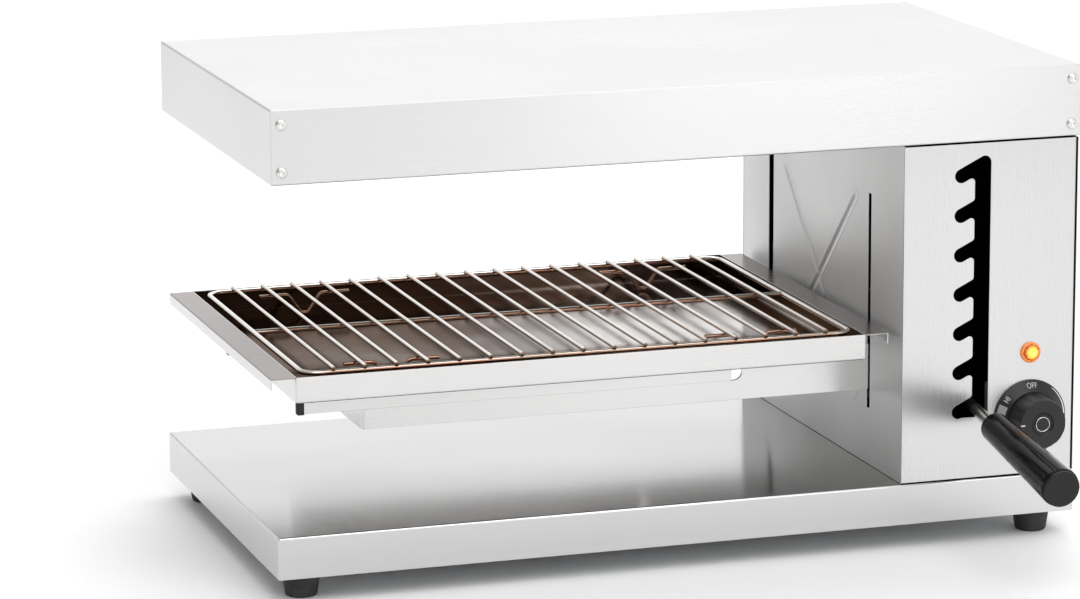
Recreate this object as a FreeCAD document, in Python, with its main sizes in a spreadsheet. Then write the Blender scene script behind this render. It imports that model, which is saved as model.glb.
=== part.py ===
import FreeCAD, Part
import math
import os
import re
import Sketcher
from FreeCAD import Placement, Rotation, Vector

# A cheese melter: a base box, a column on the right, a heated hood that hangs over the base, and a
# rack in a drip tray on two arms. A lever in a notched slot raises and lowers the arms.
#
# Every formula is in the corner frame: X runs right and Y runs back from the front left corner of the
# base box, and Z runs up from its bottom edge. The finished pieces stand in the part's own frame, which
# starts at the middle of the whole outline, on the floor.

os.makedirs("parts", exist_ok=True)
doc = FreeCAD.newDocument("cheese_melter")
sheet = doc.addObject("Spreadsheet::Sheet", "sizes")

SIZES = {
    # the housing as a whole
    "width": 600.0,
    "depth": 330.0,
    "base_height": 30.0,
    "column_height": 248.0,
    "hood_height": 52.0,
    "column_width": 136.0,
    "metal": 1.0,
    "thick_metal": 2.0,
    "bend": 1.6,
    "seam": 1.0,
    "fit_clear": 0.3,
    "run_clear": 0.05,
    "overrun": 3.0,
    # screws with round heads
    "head_size": 8.0,
    "head_height": 2.2,
    "flat_head_height": 1.2,
    "head_edge": 0.8,
    "socket_size": 2.9,
    "socket_depth": 1.0,
    "shank_size": 4.0,
    "shank_clear": 0.25,
    "shank_length": 5.0,
    # the base and its feet
    "bottom_lip": 12.0,
    "foot_height": 18.5,
    "foot_top_size": 28.0,
    "foot_bottom_size": 22.5,
    "foot_from_side": 22.5,
    "foot_from_end": 26.0,
    "foot_edge": 2.0,
    "foot_recess_size": 12.0,
    "foot_recess_depth": 12.5,
    "foot_screw_length": 10.0,
    "vent_width": 4.0,
    "vent_length": 56.0,
    "vent_pitch": 9.0,
    "vent_count": 8,
    # the column's panels
    "fold": 14.0,
    "fold_screw": 8.5,
    "cover_screw_end": 14.0,
    "slot_front": 65.5,
    "slot_back_gap": 62.0,
    "slot_front_width": 6.0,
    "slot_back_width": 10.0,
    "slot_low": 42.6,
    "slot_spare": 3.334,
    "bead_share": 0.5383,
    "bead_half_width": 5.0,
    "bead_depth": 1.0,
    "bead_wall": 0.7,
    "bead_angle": 45.0,
    # the lever and its notched slot
    "channel_left": 54.3,
    "channel_width": 12.5,
    "level_count": 7,
    "level_low": 50.5,
    "level_top_gap": 24.1,
    "notch_reach": 10.3,
    "notch_radius": 5.2,
    "notch_angle": 26.0,
    "tooth_round": 2.5,
    "channel_round": 5.0,
    "lever_play": 3.0,
    "lever_latch": 15.0,
    "rod_size": 8.5,
    "pivot_from_back": 30.0,
    "rest_tilt": 8.5,
    "lever_reach": 155.0,
    "grip_length": 119.0,
    "grip_small_size": 21.5,
    "grip_large_size": 28.3,
    "grip_round": 3.0,
    "grip_edge": 1.5,
    "grip_floor": 3.0,
    "groove_count": 6,
    "groove_size": 1.5,
    "groove_depth": 0.6,
    "groove_angle": 13.0,
    "cap_size": 26.5,
    "cap_thickness": 2.5,
    "cap_edge": 0.6,
    "hub_size": 26.0,
    "hub_width": 24.0,
    "hub_boss_size": 15.0,
    "hub_boss_reach": 27.0,
    "sleeve_size": 16.0,
    "sleeve_collar_size": 20.0,
    "sleeve_collar": 2.5,
    "shaft_size": 10.0,
    "shaft_overhang": 4.0,
    "clip_size": 14.0,
    "clip_thickness": 1.2,
    "ear_thickness": 2.5,
    "ear_half_height": 14.0,
    # the carriage and its guides
    "guide_size": 10.0,
    "guide_from_wall": 21.0,
    "guide_front": 98.0,
    "guide_back_gap": 95.0,
    "guide_leg": 38.0,
    "guide_flange": 18.0,
    "guide_end_gap": 3.0,
    "guide_margin": 14.0,
    "guide_screw_size": 5.0,
    "guide_screw_length": 12.0,
    "guide_head_height": 2.5,
    "plate_gap": 5.0,
    "plate_margin": 12.0,
    "plate_drop": 3.0,
    "plate_spare": 4.234,
    "block_width": 24.0,
    "block_depth": 28.0,
    "block_low": 10.0,
    "block_top_gap": 11.2,
    "block_edge": 2.0,
    "lift_bracket": 113.0,
    "lift_bracket_reach": 73.0,
    "lift_bracket_rim": 7.0,
    "lift_flange": 20.0,
    "lever_lag": 2.2,
    # the carrier under the tray
    "arm_low": 86.8,
    "arm_recess": 14.6,
    "arm_height": 34.2,
    "arm_end": 78.7,
    "arm_step_gap": 99.0,
    "arm_step_round": 6.0,
    "arm_bend": 3.0,
    "tab_length": 17.5,
    "bar_left": 33.6,
    "bar_end_gap": 107.4,
    "bar_thickness": 3.0,
    "bar_height": 20.0,
    "bar_cap_wall": 0.6,
    "bar_cap_front": 2.6,
    "bar_cap_grip": 3.0,
    "bar_cap_round": 1.5,
    # the drip tray
    "tray_front": 12.0,
    "tray_side_gap": 5.5,
    "tray_back_gap": 11.0,
    "tray_height": 18.5,
    "tray_flange": 17.5,
    "tray_lip": 8.0,
    # the wire rack
    "rack_left": 27.0,
    "rack_inset": 14.0,
    "rack_side_gap": 50.0,
    "rack_end_gap": 22.0,
    "rack_corner": 12.0,
    "rack_wire": 4.0,
    "cross_wire": 3.0,
    "cross_count": 17,
    "cross_end_gap": 21.05,
    "weld_sink": 0.5,
    "foot_wire_run": 19.5,
    "foot_wire_bend": 5.0,
    "foot_wire_angle": 55.0,
    "foot_wire_end_gap": 23.3,
    "foot_wire_side_gap": 35.0,
    # the hood and its heater
    "fascia": 1.2,
    "fascia_fold": 9.0,
    "fascia_screw_side": 7.0,
    "fascia_screw_low": 9.0,
    "fascia_screw_high": 42.0,
    "hood_flange": 13.0,
    "hood_vent_length": 24.0,
    "hood_vent_count": 11,
    "heater_left": 22.0,
    "heater_front": 28.0,
    "reflector_flange": 10.0,
    "reflector_rise": 31.0,
    "reflector_slope": 13.0,
    "element_size": 8.0,
    "element_height": 15.0,
    "element_count": 3,
    "element_end_gap": 51.0,
    "element_leg_gap": 40.0,
    "element_side_gap": 24.0,
    "element_reach": 18.0,
    "support_share": 0.26,
    "support_low": 8.0,
    "support_tab": 9.0,
    "insulator_size": 14.0,
    "insulator_length": 12.0,
    "insulator_gap": 12.0,
    "terminal_length": 14.0,
    "terminal_width": 6.3,
    "terminal_thickness": 0.8,
    "wiring_hole": 20.0,
    # the control, the lamp and the mains inlet
    "knob_from_wall": 99.6,
    "knob_height": 42.6,
    "dial_size": 56.0,
    "dial_rim": 1.2,
    "dial_top_size": 41.0,
    "dial_rise": 7.0,
    "knob_size": 39.0,
    "knob_top_size": 36.0,
    "knob_rise": 17.5,
    "knob_round": 1.0,
    "knob_dish_size": 17.5,
    "knob_dish_depth": 1.3,
    "knob_disc_size": 10.0,
    "knob_disc_height": 0.9,
    "scallop_count": 12,
    "scallop_size": 30.0,
    "scallop_depth": 0.45,
    "spindle_size": 6.0,
    "spindle_length": 24.0,
    "spindle_in_knob": 12.0,
    "neck_size": 9.5,
    "neck_clear": 0.5,
    "regulator_width": 36.0,
    "regulator_height": 38.0,
    "regulator_depth": 38.0,
    "regulator_plate": 1.0,
    "regulator_plate_margin": 3.0,
    "lamp_height": 90.9,
    "lamp_size": 15.4,
    "lamp_flange": 2.0,
    "lamp_barrel": 12.6,
    "lamp_barrel_length": 20.0,
    "lamp_barrel_clear": 0.2,
    "lens_size": 11.0,
    "lens_dome": 1.8,
    "lens_depth": 4.0,
    "lamp_nut": 18.0,
    "lamp_nut_thickness": 3.0,
    "gland_from_wall": 100.0,
    "gland_height": 28.0,
    "gland_thread": 16.0,
    "gland_hex": 22.0,
    "gland_collar": 5.0,
    "gland_reach": 12.0,
    "gland_tip": 15.0,
    "gland_bore": 8.5,
    "gland_inner": 9.0,
    "gland_nut_thickness": 4.0,
    "block_length": 52.0,
    "terminal_block_depth": 22.0,
    "terminal_block_height": 18.0,
    "terminal_block_back": 70.0,
    "terminal_block_from_wall": 60.0,
    "well_size": 5.0,
    "well_depth": 6.0,
    "well_count": 5,
}

for row, (name, size) in enumerate(SIZES.items(), start=1):
    sheet.set(f"A{row}", name)
    sheet.set(f"B{row}", str(size))
    sheet.setAlias(f"B{row}", name)
doc.recompute()

# Places that follow from the sizes above.
DERIVED = {
    "pivot_from_front": "depth - pivot_from_back",
    "slot_back": "depth - slot_back_gap",
    "guide_back": "depth - guide_back_gap",
    "level_pitch": "(column_height - level_top_gap - level_low) / (level_count - 1)",
    "lever_length": "pivot_from_front + lever_reach",
    "grip_slope": "(grip_large_size - grip_small_size) / 2 / grip_length",
    "column_left": "width - column_width",
    "hood_bottom": "base_height + column_height",
    "body_top": "hood_bottom + hood_height",
    "cover_outside": "column_width - flat_head_height",
    "panel_right": "cover_outside - metal - fit_clear",
    "wall_inside": "column_left + metal",
    "screw_pitch": "(column_height - 2 * cover_screw_end) / 2",
    "rod_radius": "rod_size / 2",
    "panel_middle": "metal / 2",
    "lever_arm": "pivot_from_front - panel_middle",
    "level_rise": "(level_count - 1) * level_pitch",
    "lever_low": "base_height + level_low",
    "pivot_height": "lever_low + lever_arm * tan(rest_tilt)",
    "top_tilt_slope": "(level_rise - lever_arm * tan(rest_tilt)) / lever_arm",
    "lever_rest": "column_left + channel_left + rod_radius + fit_clear",
    "latch_place": "lever_rest - lever_latch",
    "bracket_arm": "pivot_from_front - lift_bracket",
    "carriage_travel": "bracket_arm * (top_tilt_slope + tan(rest_tilt))",
    "lever_at_bracket": "pivot_height - bracket_arm * tan(rest_tilt)",
    "tilt_stretch": "sqrt(1 + top_tilt_slope * top_tilt_slope)",
    "window_reach": "rod_radius * tilt_stretch + thick_metal / 2 * top_tilt_slope + fit_clear",
    "front_reach": "lever_length * cos(rest_tilt) + (cap_size / 2 - cap_edge) * sin(rest_tilt)"
                   " - pivot_from_front",
    "middle_x": "width / 2",
    "middle_y": "(depth + gland_reach - front_reach) / 2",
    "tab_right": "wall_inside + plate_gap",
    "plate_right": "tab_right + thick_metal",
    "guide_x": "wall_inside + guide_from_wall",
    "arm_high": "arm_low + arm_height",
    "slot_height": "arm_high + carriage_travel + slot_spare - base_height - slot_low",
    "bead_half_length": "(slot_back - slot_front) * bead_share",
    "guide_low": "base_height + guide_end_gap + guide_head_height + thick_metal",
    "guide_high": "hood_bottom - guide_end_gap - guide_head_height - thick_metal",
    "plate_low": "arm_low - plate_drop",
    "plate_high": "guide_high - carriage_travel - plate_spare",
    "block_height": "plate_high - arm_low - block_low - block_top_gap",
    "arm_step": "column_left - arm_step_gap",
    "bar_low": "arm_low + arm_recess",
    "bar_length": "column_left - bar_end_gap - bar_left",
    "tray_low": "bar_low + bar_height + fit_clear",
    "tray_width": "column_left - tray_side_gap",
    "tray_depth": "depth - tray_front - tray_back_gap",
    "rack_front": "tray_front + rack_inset",
    "rack_width": "tray_width - rack_side_gap",
    "rack_depth": "tray_depth - rack_end_gap",
    "cross_pitch": "(rack_width - 2 * cross_end_gap) / (cross_count - 1)",
    "tray_top": "tray_low + tray_height",
    "rack_height": "tray_top - rack_wire / 4",
    "cross_height": "rack_height + (rack_wire + cross_wire) / 2 - weld_sink",
    "foot_wire_top": "cross_height - cross_wire - fit_clear",
    "foot_wire_drop": "foot_wire_top - (tray_low + metal + fit_clear + cross_wire / 2)",
    "heater_width": "column_left - 2 * heater_left",
    "heater_depth": "depth - 2 * heater_front",
    "element_pitch": "(heater_depth - 2 * element_end_gap) / (element_count - 1)",
    "element_left": "heater_left + element_side_gap",
    "element_right": "column_left + element_reach",
    "insulator_left": "column_left - insulator_gap",
    "element_z": "hood_bottom + element_height",
    "knob_x": "column_left + knob_from_wall",
    "knob_z": "base_height + knob_height",
    "lamp_z": "base_height + lamp_height",
    "gland_x": "column_left + gland_from_wall",
    "gland_z": "base_height + gland_height",
    "hole_radius": "shank_size / 2 + shank_clear",
    "collar_span": "hub_width + 2 * fit_clear + 2 * sleeve_collar",
    "ear_left": "latch_place - collar_span / 2 - 2 * fit_clear",
    "ear_right": "lever_rest + lever_play + collar_span / 2 + 2 * fit_clear",
    "bracket_back": "depth - metal",
}


def formula(text):
    """Open each derived name in a formula into the sheet's sizes that it follows."""
    def opened(match):
        word = match.group(0)
        if word in DERIVED:
            return "(" + formula(DERIVED[word]) + ")"
        return "sizes." + word if word in SIZES else word
    return re.sub(r"[a-z][a-z_]*", opened, str(text))


def value(text):
    """The number that a formula gives now, with angles in degrees."""
    result = sheet.evalExpression(formula(text))
    return float(getattr(result, "Value", result))


pieces = {}


def keep(item, label):
    """Give a piece its label, which names its file."""
    item.Label = label
    pieces[label] = item
    return item


def place(item, x="0", y="0", z="0", tilt=None):
    """Stand a piece at a corner-frame point, and tip it about X by the angle tilt if one is given."""
    if tilt:
        item.Placement = Placement(Vector(), Rotation(Vector(1, 0, 0), value(tilt)))
        item.setExpression("Placement.Rotation.Angle", formula(tilt))
    item.setExpression("Placement.Base.x", formula(f"{x} - middle_x"))
    item.setExpression("Placement.Base.y", formula(f"{y} - middle_y"))
    item.setExpression("Placement.Base.z", formula(f"{z} + foot_height"))


def new_body(label, x="0", y="0", z="0", tilt=None):
    """An empty body, standing at its corner-frame point."""
    body = keep(doc.addObject("PartDesign::Body", label), label)
    place(body, x, y, z, tilt)
    return body


# A sketch on XY looks along +Z, one on XZ along -Y and one on YZ along +X.
def new_sketch(body, plane, offset):
    sketch = body.newObject("Sketcher::SketchObject", body.Label + "_sketch")
    support = next(p for p in body.Origin.OriginFeatures if p.Role == plane + "_Plane")
    sketch.AttachmentSupport = [(support, "")]
    sketch.MapMode = "FlatFace"
    sketch.setExpression("AttachmentOffset.Base.z", formula(offset))
    return sketch


def hold(sketch, geometry, point, x, y):
    """Hold one point of a sketch from its origin by two formulas."""
    for kind, text in (("DistanceX", x), ("DistanceY", y)):
        index = sketch.addConstraint(Sketcher.Constraint(kind, -1, 1, geometry, point, value(text)))
        sketch.setExpression(f"Constraints[{index}]", formula(text))


def draw_outline(sketch, corners):
    """A closed outline of straight edges through corners given as pairs of formulas."""
    start = sketch.GeometryCount
    places = [Vector(value(x), value(y), 0) for x, y in corners]
    count = len(corners)
    for number in range(count):
        sketch.addGeometry(Part.LineSegment(places[number], places[(number + 1) % count]))
    for number, (x, y) in enumerate(corners):
        following = start + (number + 1) % count
        sketch.addConstraint(Sketcher.Constraint("Coincident", start + number, 2, following, 1))
        hold(sketch, start + number, 1, x, y)


def draw_circle(sketch, x, y, radius):
    centre = Vector(value(x), value(y), 0)
    index = sketch.addGeometry(Part.Circle(centre, Vector(0, 0, 1), value(radius)))
    hold(sketch, index, 3, x, y)
    size = sketch.addConstraint(Sketcher.Constraint("Radius", index, value(radius)))
    sketch.setExpression(f"Constraints[{size}]", formula(radius))


def box_corners(low_x, high_x, low_y, high_y):
    return [(low_x, low_y), (high_x, low_y), (high_x, high_y), (low_x, high_y)]


def draw(sketch, shapes):
    """Draw circles, given as three formulas, and outlines, given as lists of corners."""
    for shape in shapes:
        if isinstance(shape, tuple):
            draw_circle(sketch, *shape)
        else:
            draw_outline(sketch, shape)


def add(body, plane, shapes, low, high):
    """Pad shapes drawn on a plane from low to high along the axis that the plane leaves free."""
    backwards = plane == "XZ"
    sketch = new_sketch(body, plane, f"-({high})" if backwards else low)
    draw(sketch, shapes)
    pad = body.newObject("PartDesign::Pad", body.Label + "_pad")
    pad.Profile = sketch
    pad.setExpression("Length", formula(f"({high}) - ({low})"))
    sketch.Visibility = False
    doc.recompute()
    return pad


def cut(body, plane, shapes, low, high):
    """Pocket shapes drawn on a plane from low to high along the axis that the plane leaves free."""
    before = body.Shape.Volume
    backwards = plane == "XZ"
    sketch = new_sketch(body, plane, f"-({low})" if backwards else high)
    draw(sketch, shapes)
    pocket = body.newObject("PartDesign::Pocket", body.Label + "_pocket")
    pocket.Profile = sketch
    pocket.setExpression("Length", formula(f"({high}) - ({low})"))
    doc.recompute()
    if body.Shape.Volume >= before:
        raise RuntimeError(f"{body.Label}: a pocket cut nothing")
    return pocket


def turn(body, plane, outline, axis):
    """Revolve an outline a full turn about an axis of its own sketch, H_Axis or V_Axis."""
    sketch = new_sketch(body, plane, "0")
    draw(sketch, [outline])
    revolution = body.newObject("PartDesign::Revolution", body.Label + "_turned")
    revolution.Profile = sketch
    revolution.ReferenceAxis = (sketch, [axis])
    revolution.Angle = 360
    doc.recompute()
    return revolution


def repeat(body, originals, axis, count, length):
    """Repeat features in a row along one of the body's axes."""
    pattern = body.newObject("PartDesign::LinearPattern", body.Label + "_row")
    pattern.Originals = originals
    line = next(p for p in body.Origin.OriginFeatures if p.Role == axis + "_Axis")
    pattern.Direction = (line, [""])
    pattern.setExpression("Length", formula(length))
    pattern.setExpression("Occurrences", formula(count))
    body.Tip = pattern
    doc.recompute()
    return pattern


def repeat_round(body, originals, axis, count):
    """Repeat features all round one of the body's axes."""
    pattern = body.newObject("PartDesign::PolarPattern", body.Label + "_ring")
    pattern.Originals = originals
    line = next(p for p in body.Origin.OriginFeatures if p.Role == axis + "_Axis")
    pattern.Axis = (line, [""])
    pattern.Angle = 360
    pattern.setExpression("Occurrences", formula(count))
    body.Tip = pattern
    doc.recompute()
    return pattern


def curve_kind(edge):
    """The kind of an edge's curve, or nothing where a blend leaves an edge without one."""
    try:
        return edge.Curve.TypeId
    except TypeError:
        return ""


def along(axis, **where):
    """A test for straight edges along an axis whose middle lies at the given formulas."""
    places = {key: value(text) for key, text in where.items()}
    tolerance = value("fit_clear") / 4

    def test(edge):
        if curve_kind(edge) != "Part::GeomLine":
            return False
        first, last = edge.Vertexes[0].Point, edge.Vertexes[-1].Point
        step = last - first
        if abs(getattr(step, axis)) < 0.99 * step.Length:
            return False
        middle = (first + last) / 2
        return all(abs(getattr(middle, key) - place) < tolerance for key, place in places.items())
    return test


def rim_at(axis, radius, place):
    """A test for the circular edges of a radius whose middle lies at a place along an axis."""
    size, middle = value(radius), value(place)
    near = value("fit_clear") / 4

    def test(edge):
        if curve_kind(edge) != "Part::GeomCircle":
            return False
        circle = edge.Curve
        return abs(circle.Radius - size) < near and abs(getattr(circle.Center, axis) - middle) < near
    return test


def soften(body, radius, *tests, kind="Fillet"):
    """Round or bevel every edge of the body's last feature that passes one of the tests."""
    base = body.Tip
    shape = base.Shape
    names = [f"Edge{n + 1}" for n, edge in enumerate(shape.Edges) if any(test(edge) for test in tests)]
    if not names:
        raise RuntimeError(f"{body.Label}: no edge to round")
    feature = body.newObject("PartDesign::" + kind, body.Label + "_edges")
    feature.Base = (base, names)
    feature.setExpression("Size" if kind == "Chamfer" else "Radius", formula(radius))
    doc.recompute()
    return feature


def loft(body, kind, plane, outlines):
    """A straight-sided loft through shapes drawn on one plane, each at its own offset from it."""
    sketches = []
    for offset, shape in outlines:
        sketch = new_sketch(body, plane, offset)
        draw(sketch, [shape])
        sketches.append(sketch)
    feature = body.newObject("PartDesign::" + kind, body.Label + "_loft")
    feature.Profile = sketches[0]
    feature.Sections = sketches[1:]
    feature.Ruled = True
    doc.recompute()
    return feature


def solid_of(label, kind, x="0", y="0", z="0", direction=None, **sizes):
    """A primitive whose sizes are formulas. Its own Z axis is turned to the direction given."""
    item = doc.addObject("Part::" + kind, label)
    if direction:
        item.Placement = Placement(Vector(), Rotation(Vector(0, 0, 1), Vector(*direction)))
    for key, text in sizes.items():
        item.setExpression(key, formula(text))
    place(item, x, y, z)
    return item


def join(label, items):
    """Fuse primitives into one piece."""
    fused = doc.addObject("Part::MultiFuse", label)
    fused.Shapes = items
    return fused


def group_piece(label, shapes):
    """A piece that is a group of alike solids, worked out from the sheet in corner-frame places."""
    item = keep(doc.addObject("Part::Feature", label), label)
    item.Shape = Part.makeCompound(shapes)
    item.Placement = Placement(Vector(-value("middle_x"), -value("middle_y"), value("foot_height")),
                               Rotation())
    return item


def screw(point, outward, head_height, shank_length):
    """A screw whose sloped head sits at a point and faces outward, with a six-sided socket."""
    head_radius = value("head_size") / 2
    edge_low = value(f"{head_height} - head_edge")
    head = Part.makeCylinder(head_radius, edge_low)
    head = head.fuse(Part.makeCone(head_radius, value("head_size / 2 - head_edge"), value("head_edge"),
                                   Vector(0, 0, edge_low)))
    shank = Part.makeCylinder(value("shank_size") / 2, value(shank_length), Vector(), Vector(0, 0, -1))
    corner = value("socket_size / sqrt(3)")
    turns = [math.radians(60 * side) for side in range(7)]
    socket_low = value(head_height) - value("socket_depth")
    ring = [Vector(corner * math.cos(a), corner * math.sin(a), socket_low) for a in turns]
    socket = Part.Face(Part.makePolygon(ring)).extrude(Vector(0, 0, value("overrun")))
    whole = head.fuse(shank).removeSplitter().cut(socket)
    whole.Placement = Placement(point, Rotation(Vector(0, 0, 1), outward))
    return whole


# The base pan is one sheet, folded down on four sides and open below.
base_pan = new_body("base_pan")
add(base_pan, "XY", [box_corners("0", "width", "0", "depth")], "0", "base_height")
soften(base_pan, "bend", along("z"), along("x", z="base_height"), along("y", z="base_height"))
cut(base_pan, "XY", [box_corners("metal", "width - metal", "metal", "depth - metal")],
    "-overrun", "base_height - metal")

# The bottom plate closes the base from below. Its edges are turned up inside the pan's walls.
bottom = new_body("base_bottom_plate", "metal + fit_clear", "metal + fit_clear")
bottom_x = "width - 2 * (metal + fit_clear)"
bottom_y = "depth - 2 * (metal + fit_clear)"
add(bottom, "XY", [box_corners("0", bottom_x, "0", bottom_y)], "0", "bottom_lip")
cut(bottom, "XY", [box_corners("metal", f"{bottom_x} - metal", "metal", f"{bottom_y} - metal")],
    "metal", "bottom_lip + overrun")
cut(bottom, "XY", [(f"{x} - metal - fit_clear", f"{y} - metal - fit_clear", "hole_radius")
                   for x in ("foot_from_side", "width - foot_from_side")
                   for y in ("foot_from_end", "depth - foot_from_end")],
    "-overrun", "metal + overrun")
vent_left = "column_left + fold"
vent = cut(bottom, "XY", [box_corners(vent_left, f"{vent_left} + vent_width",
                                      "depth / 2", "depth / 2 + vent_length")],
           "-overrun", "metal + overrun")
repeat(bottom, [vent], "X", "vent_count", "(vent_count - 1) * vent_pitch")

# Each foot is a rubber cone with a deep recess for its screw.
FOOT_PLACES = {
    "foot_front_left": ("foot_from_side", "foot_from_end"),
    "foot_front_right": ("width - foot_from_side", "foot_from_end"),
    "foot_back_left": ("foot_from_side", "depth - foot_from_end"),
    "foot_back_right": ("width - foot_from_side", "depth - foot_from_end"),
}
recess_roof = "foot_recess_depth - foot_height"
for label, (foot_x, foot_y) in FOOT_PLACES.items():
    foot = new_body(label, foot_x, foot_y)
    turn(foot, "XZ", [("foot_bottom_size / 2", "-foot_height"), ("foot_top_size / 2", "0"),
                      ("hole_radius", "0"), ("hole_radius", recess_roof),
                      ("foot_recess_size / 2", recess_roof), ("foot_recess_size / 2", "-foot_height")],
         "V_Axis")
    soften(foot, "foot_edge", rim_at("z", "foot_bottom_size / 2", "-foot_height"))

group_piece("foot_screws", [
    screw(Vector(value(x), value(y), value(recess_roof)), Vector(0, 0, -1), "head_height",
          "foot_screw_length")
    for x, y in FOOT_PLACES.values()])

# The inner wall faces the cooking space. It has a fold at each end, two slots for the arms and a
# shallow cross pressed into it between the slots.
wall = new_body("column_inner_wall", "column_left", "0", "base_height")
wall_front = "metal + fit_clear"
wall_back = "depth - metal - fit_clear"
add(wall, "XY", [[("0", wall_front), ("fold", wall_front), ("fold", f"{wall_front} + metal"),
                  ("metal", f"{wall_front} + metal"), ("metal", f"{wall_back} - metal"),
                  ("fold", f"{wall_back} - metal"), ("fold", wall_back), ("0", wall_back)]],
    "fit_clear", "column_height - fit_clear")
bead_y = "(slot_front + slot_back) / 2"
bead_z = "slot_low + slot_height / 2"


def cross(inset):
    """The outline of the pressed cross, drawn in from its outer edge."""
    half = f"(bead_half_width - {inset})"
    reach_y = f"(bead_half_length - {inset}) * cos(bead_angle)"
    reach_z = f"(bead_half_length - {inset}) * sin(bead_angle)"
    side_y = f"{half} * sin(bead_angle)"
    side_z = f"{half} * cos(bead_angle)"
    corners = []
    for way_y, way_z in ((1, 1), (-1, 1), (-1, -1), (1, -1)):
        tips = [(f"{bead_y} + {way_y} * ({reach_y} {sign} {side_y})",
                 f"{bead_z} + {way_z} * ({reach_z} {other} {side_z})") for sign, other in ("+-", "-+")]
        if way_y == way_z:
            corners += tips + [(bead_y, f"{bead_z} + {way_z} * {half} / cos(bead_angle)")]
        else:
            corners += tips[::-1] + [(f"{bead_y} + {way_y} * {half} / sin(bead_angle)", bead_z)]
    return corners


add(wall, "YZ", [cross("0")], "metal / 2", "metal + bead_depth")
cut(wall, "YZ", [cross("bead_wall")], "-overrun", "bead_depth")
for middle, opening in (("slot_front", "slot_front_width"), ("slot_back", "slot_back_width")):
    cut(wall, "YZ", [box_corners(f"{middle} - {opening} / 2", f"{middle} + {opening} / 2",
                                 "slot_low", "slot_low + slot_height")],
        "-overrun", "overrun + metal + bead_depth")

# The front panel has a fold on its right side and the lever's slot: an upright channel with a
# slanting notch for each height. The lowest notch has a flat floor, level with the channel's end.
panel = new_body("column_front_panel", "column_left", "0", "base_height")
panel_top = "column_height - seam"
add(panel, "XY", [[("0", "0"), ("panel_right", "0"), ("panel_right", "fold"),
                   ("panel_right - metal", "fold"), ("panel_right - metal", "metal"), ("0", "metal")]],
    "seam", panel_top)
soften(panel, "bend", along("z", x="panel_right", y="0"))
channel_right = "channel_left + channel_width"
notch_x = "channel_left - notch_reach"
level_top = "level_low + level_rise"
slot_floor = "level_low - rod_radius / cos(rest_tilt) - fit_clear"


def notch_edge(x, level, side):
    """The height of a notch's roof, side 1, or of its lower edge, side -1, over a place x."""
    middle = f"{level} + ({x} - ({notch_x})) * tan(notch_angle)"
    return f"{middle} + {side} * notch_radius / cos(notch_angle)"


cut(panel, "XZ", [[("channel_left", slot_floor), (channel_right, slot_floor),
                   (channel_right, notch_edge(channel_right, level_top, 1)),
                   ("channel_left", notch_edge("channel_left", level_top, 1))]],
    "-overrun", "metal + overrun")
notch_end = "channel_left + channel_width / 2"
notch = cut(panel, "XZ", [[(f"{notch_x} + notch_radius * sin(notch_angle)",
                            "level_low - notch_radius * cos(notch_angle)"),
                           (notch_end, notch_edge(notch_end, "level_low", -1)),
                           (notch_end, notch_edge(notch_end, "level_low", 1)),
                           (notch_x, notch_edge(notch_x, "level_low", 1)),
                           (f"{notch_x} - notch_radius * sin(notch_angle)",
                            f"level_low + notch_radius * cos(notch_angle)")]],
            "-overrun", "metal + overrun")
notch_round = cut(panel, "XZ", [(notch_x, "level_low", "notch_radius")], "-overrun", "metal + overrun")
repeat(panel, [notch, notch_round], "Z", "level_count", "level_rise")
cut(panel, "XZ", [box_corners(notch_x, notch_end, slot_floor, "level_low")],
    "-overrun", "metal + overrun")
cut(panel, "XZ", [("knob_from_wall", "knob_height", "neck_size / 2 + neck_clear"),
                  ("knob_from_wall", "lamp_height", "lamp_barrel / 2 + lamp_barrel_clear")],
    "-overrun", "metal + overrun")
teeth = [along("y", x="channel_left", z=notch_edge("channel_left", f"level_low + {n} * level_pitch", side))
         for n in range(int(SIZES["level_count"])) for side in (1, -1)]
soften(panel, "tooth_round", *teeth)
soften(panel, "channel_round", along("y", x=channel_right, z=notch_edge(channel_right, level_top, 1)))
cover_screw_rows = [f"cover_screw_end + {n} * screw_pitch" for n in range(3)]
cut(panel, "YZ", [("fold_screw", z, "hole_radius") for z in cover_screw_rows],
    "panel_right - metal - overrun", "panel_right + overrun")

# The side cover is a flat sheet, fixed to the folds of the front and back panels.
cover = new_body("column_side_cover", "column_left", "0", "base_height")
add(cover, "YZ", [box_corners("0", "depth", "seam", panel_top)], "cover_outside - metal", "cover_outside")
cut(cover, "YZ", [(y, z, "hole_radius") for z in cover_screw_rows for y in ("fold_screw",
                                                                           "depth - fold_screw")],
    "cover_outside - metal - overrun", "cover_outside + overrun")
group_piece("side_cover_screws", [
    screw(Vector(value("column_left + cover_outside"), value(y), value(f"base_height + {z}")),
          Vector(1, 0, 0), "flat_head_height", "shank_length")
    for z in cover_screw_rows for y in ("fold_screw", "depth - fold_screw")])

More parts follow.
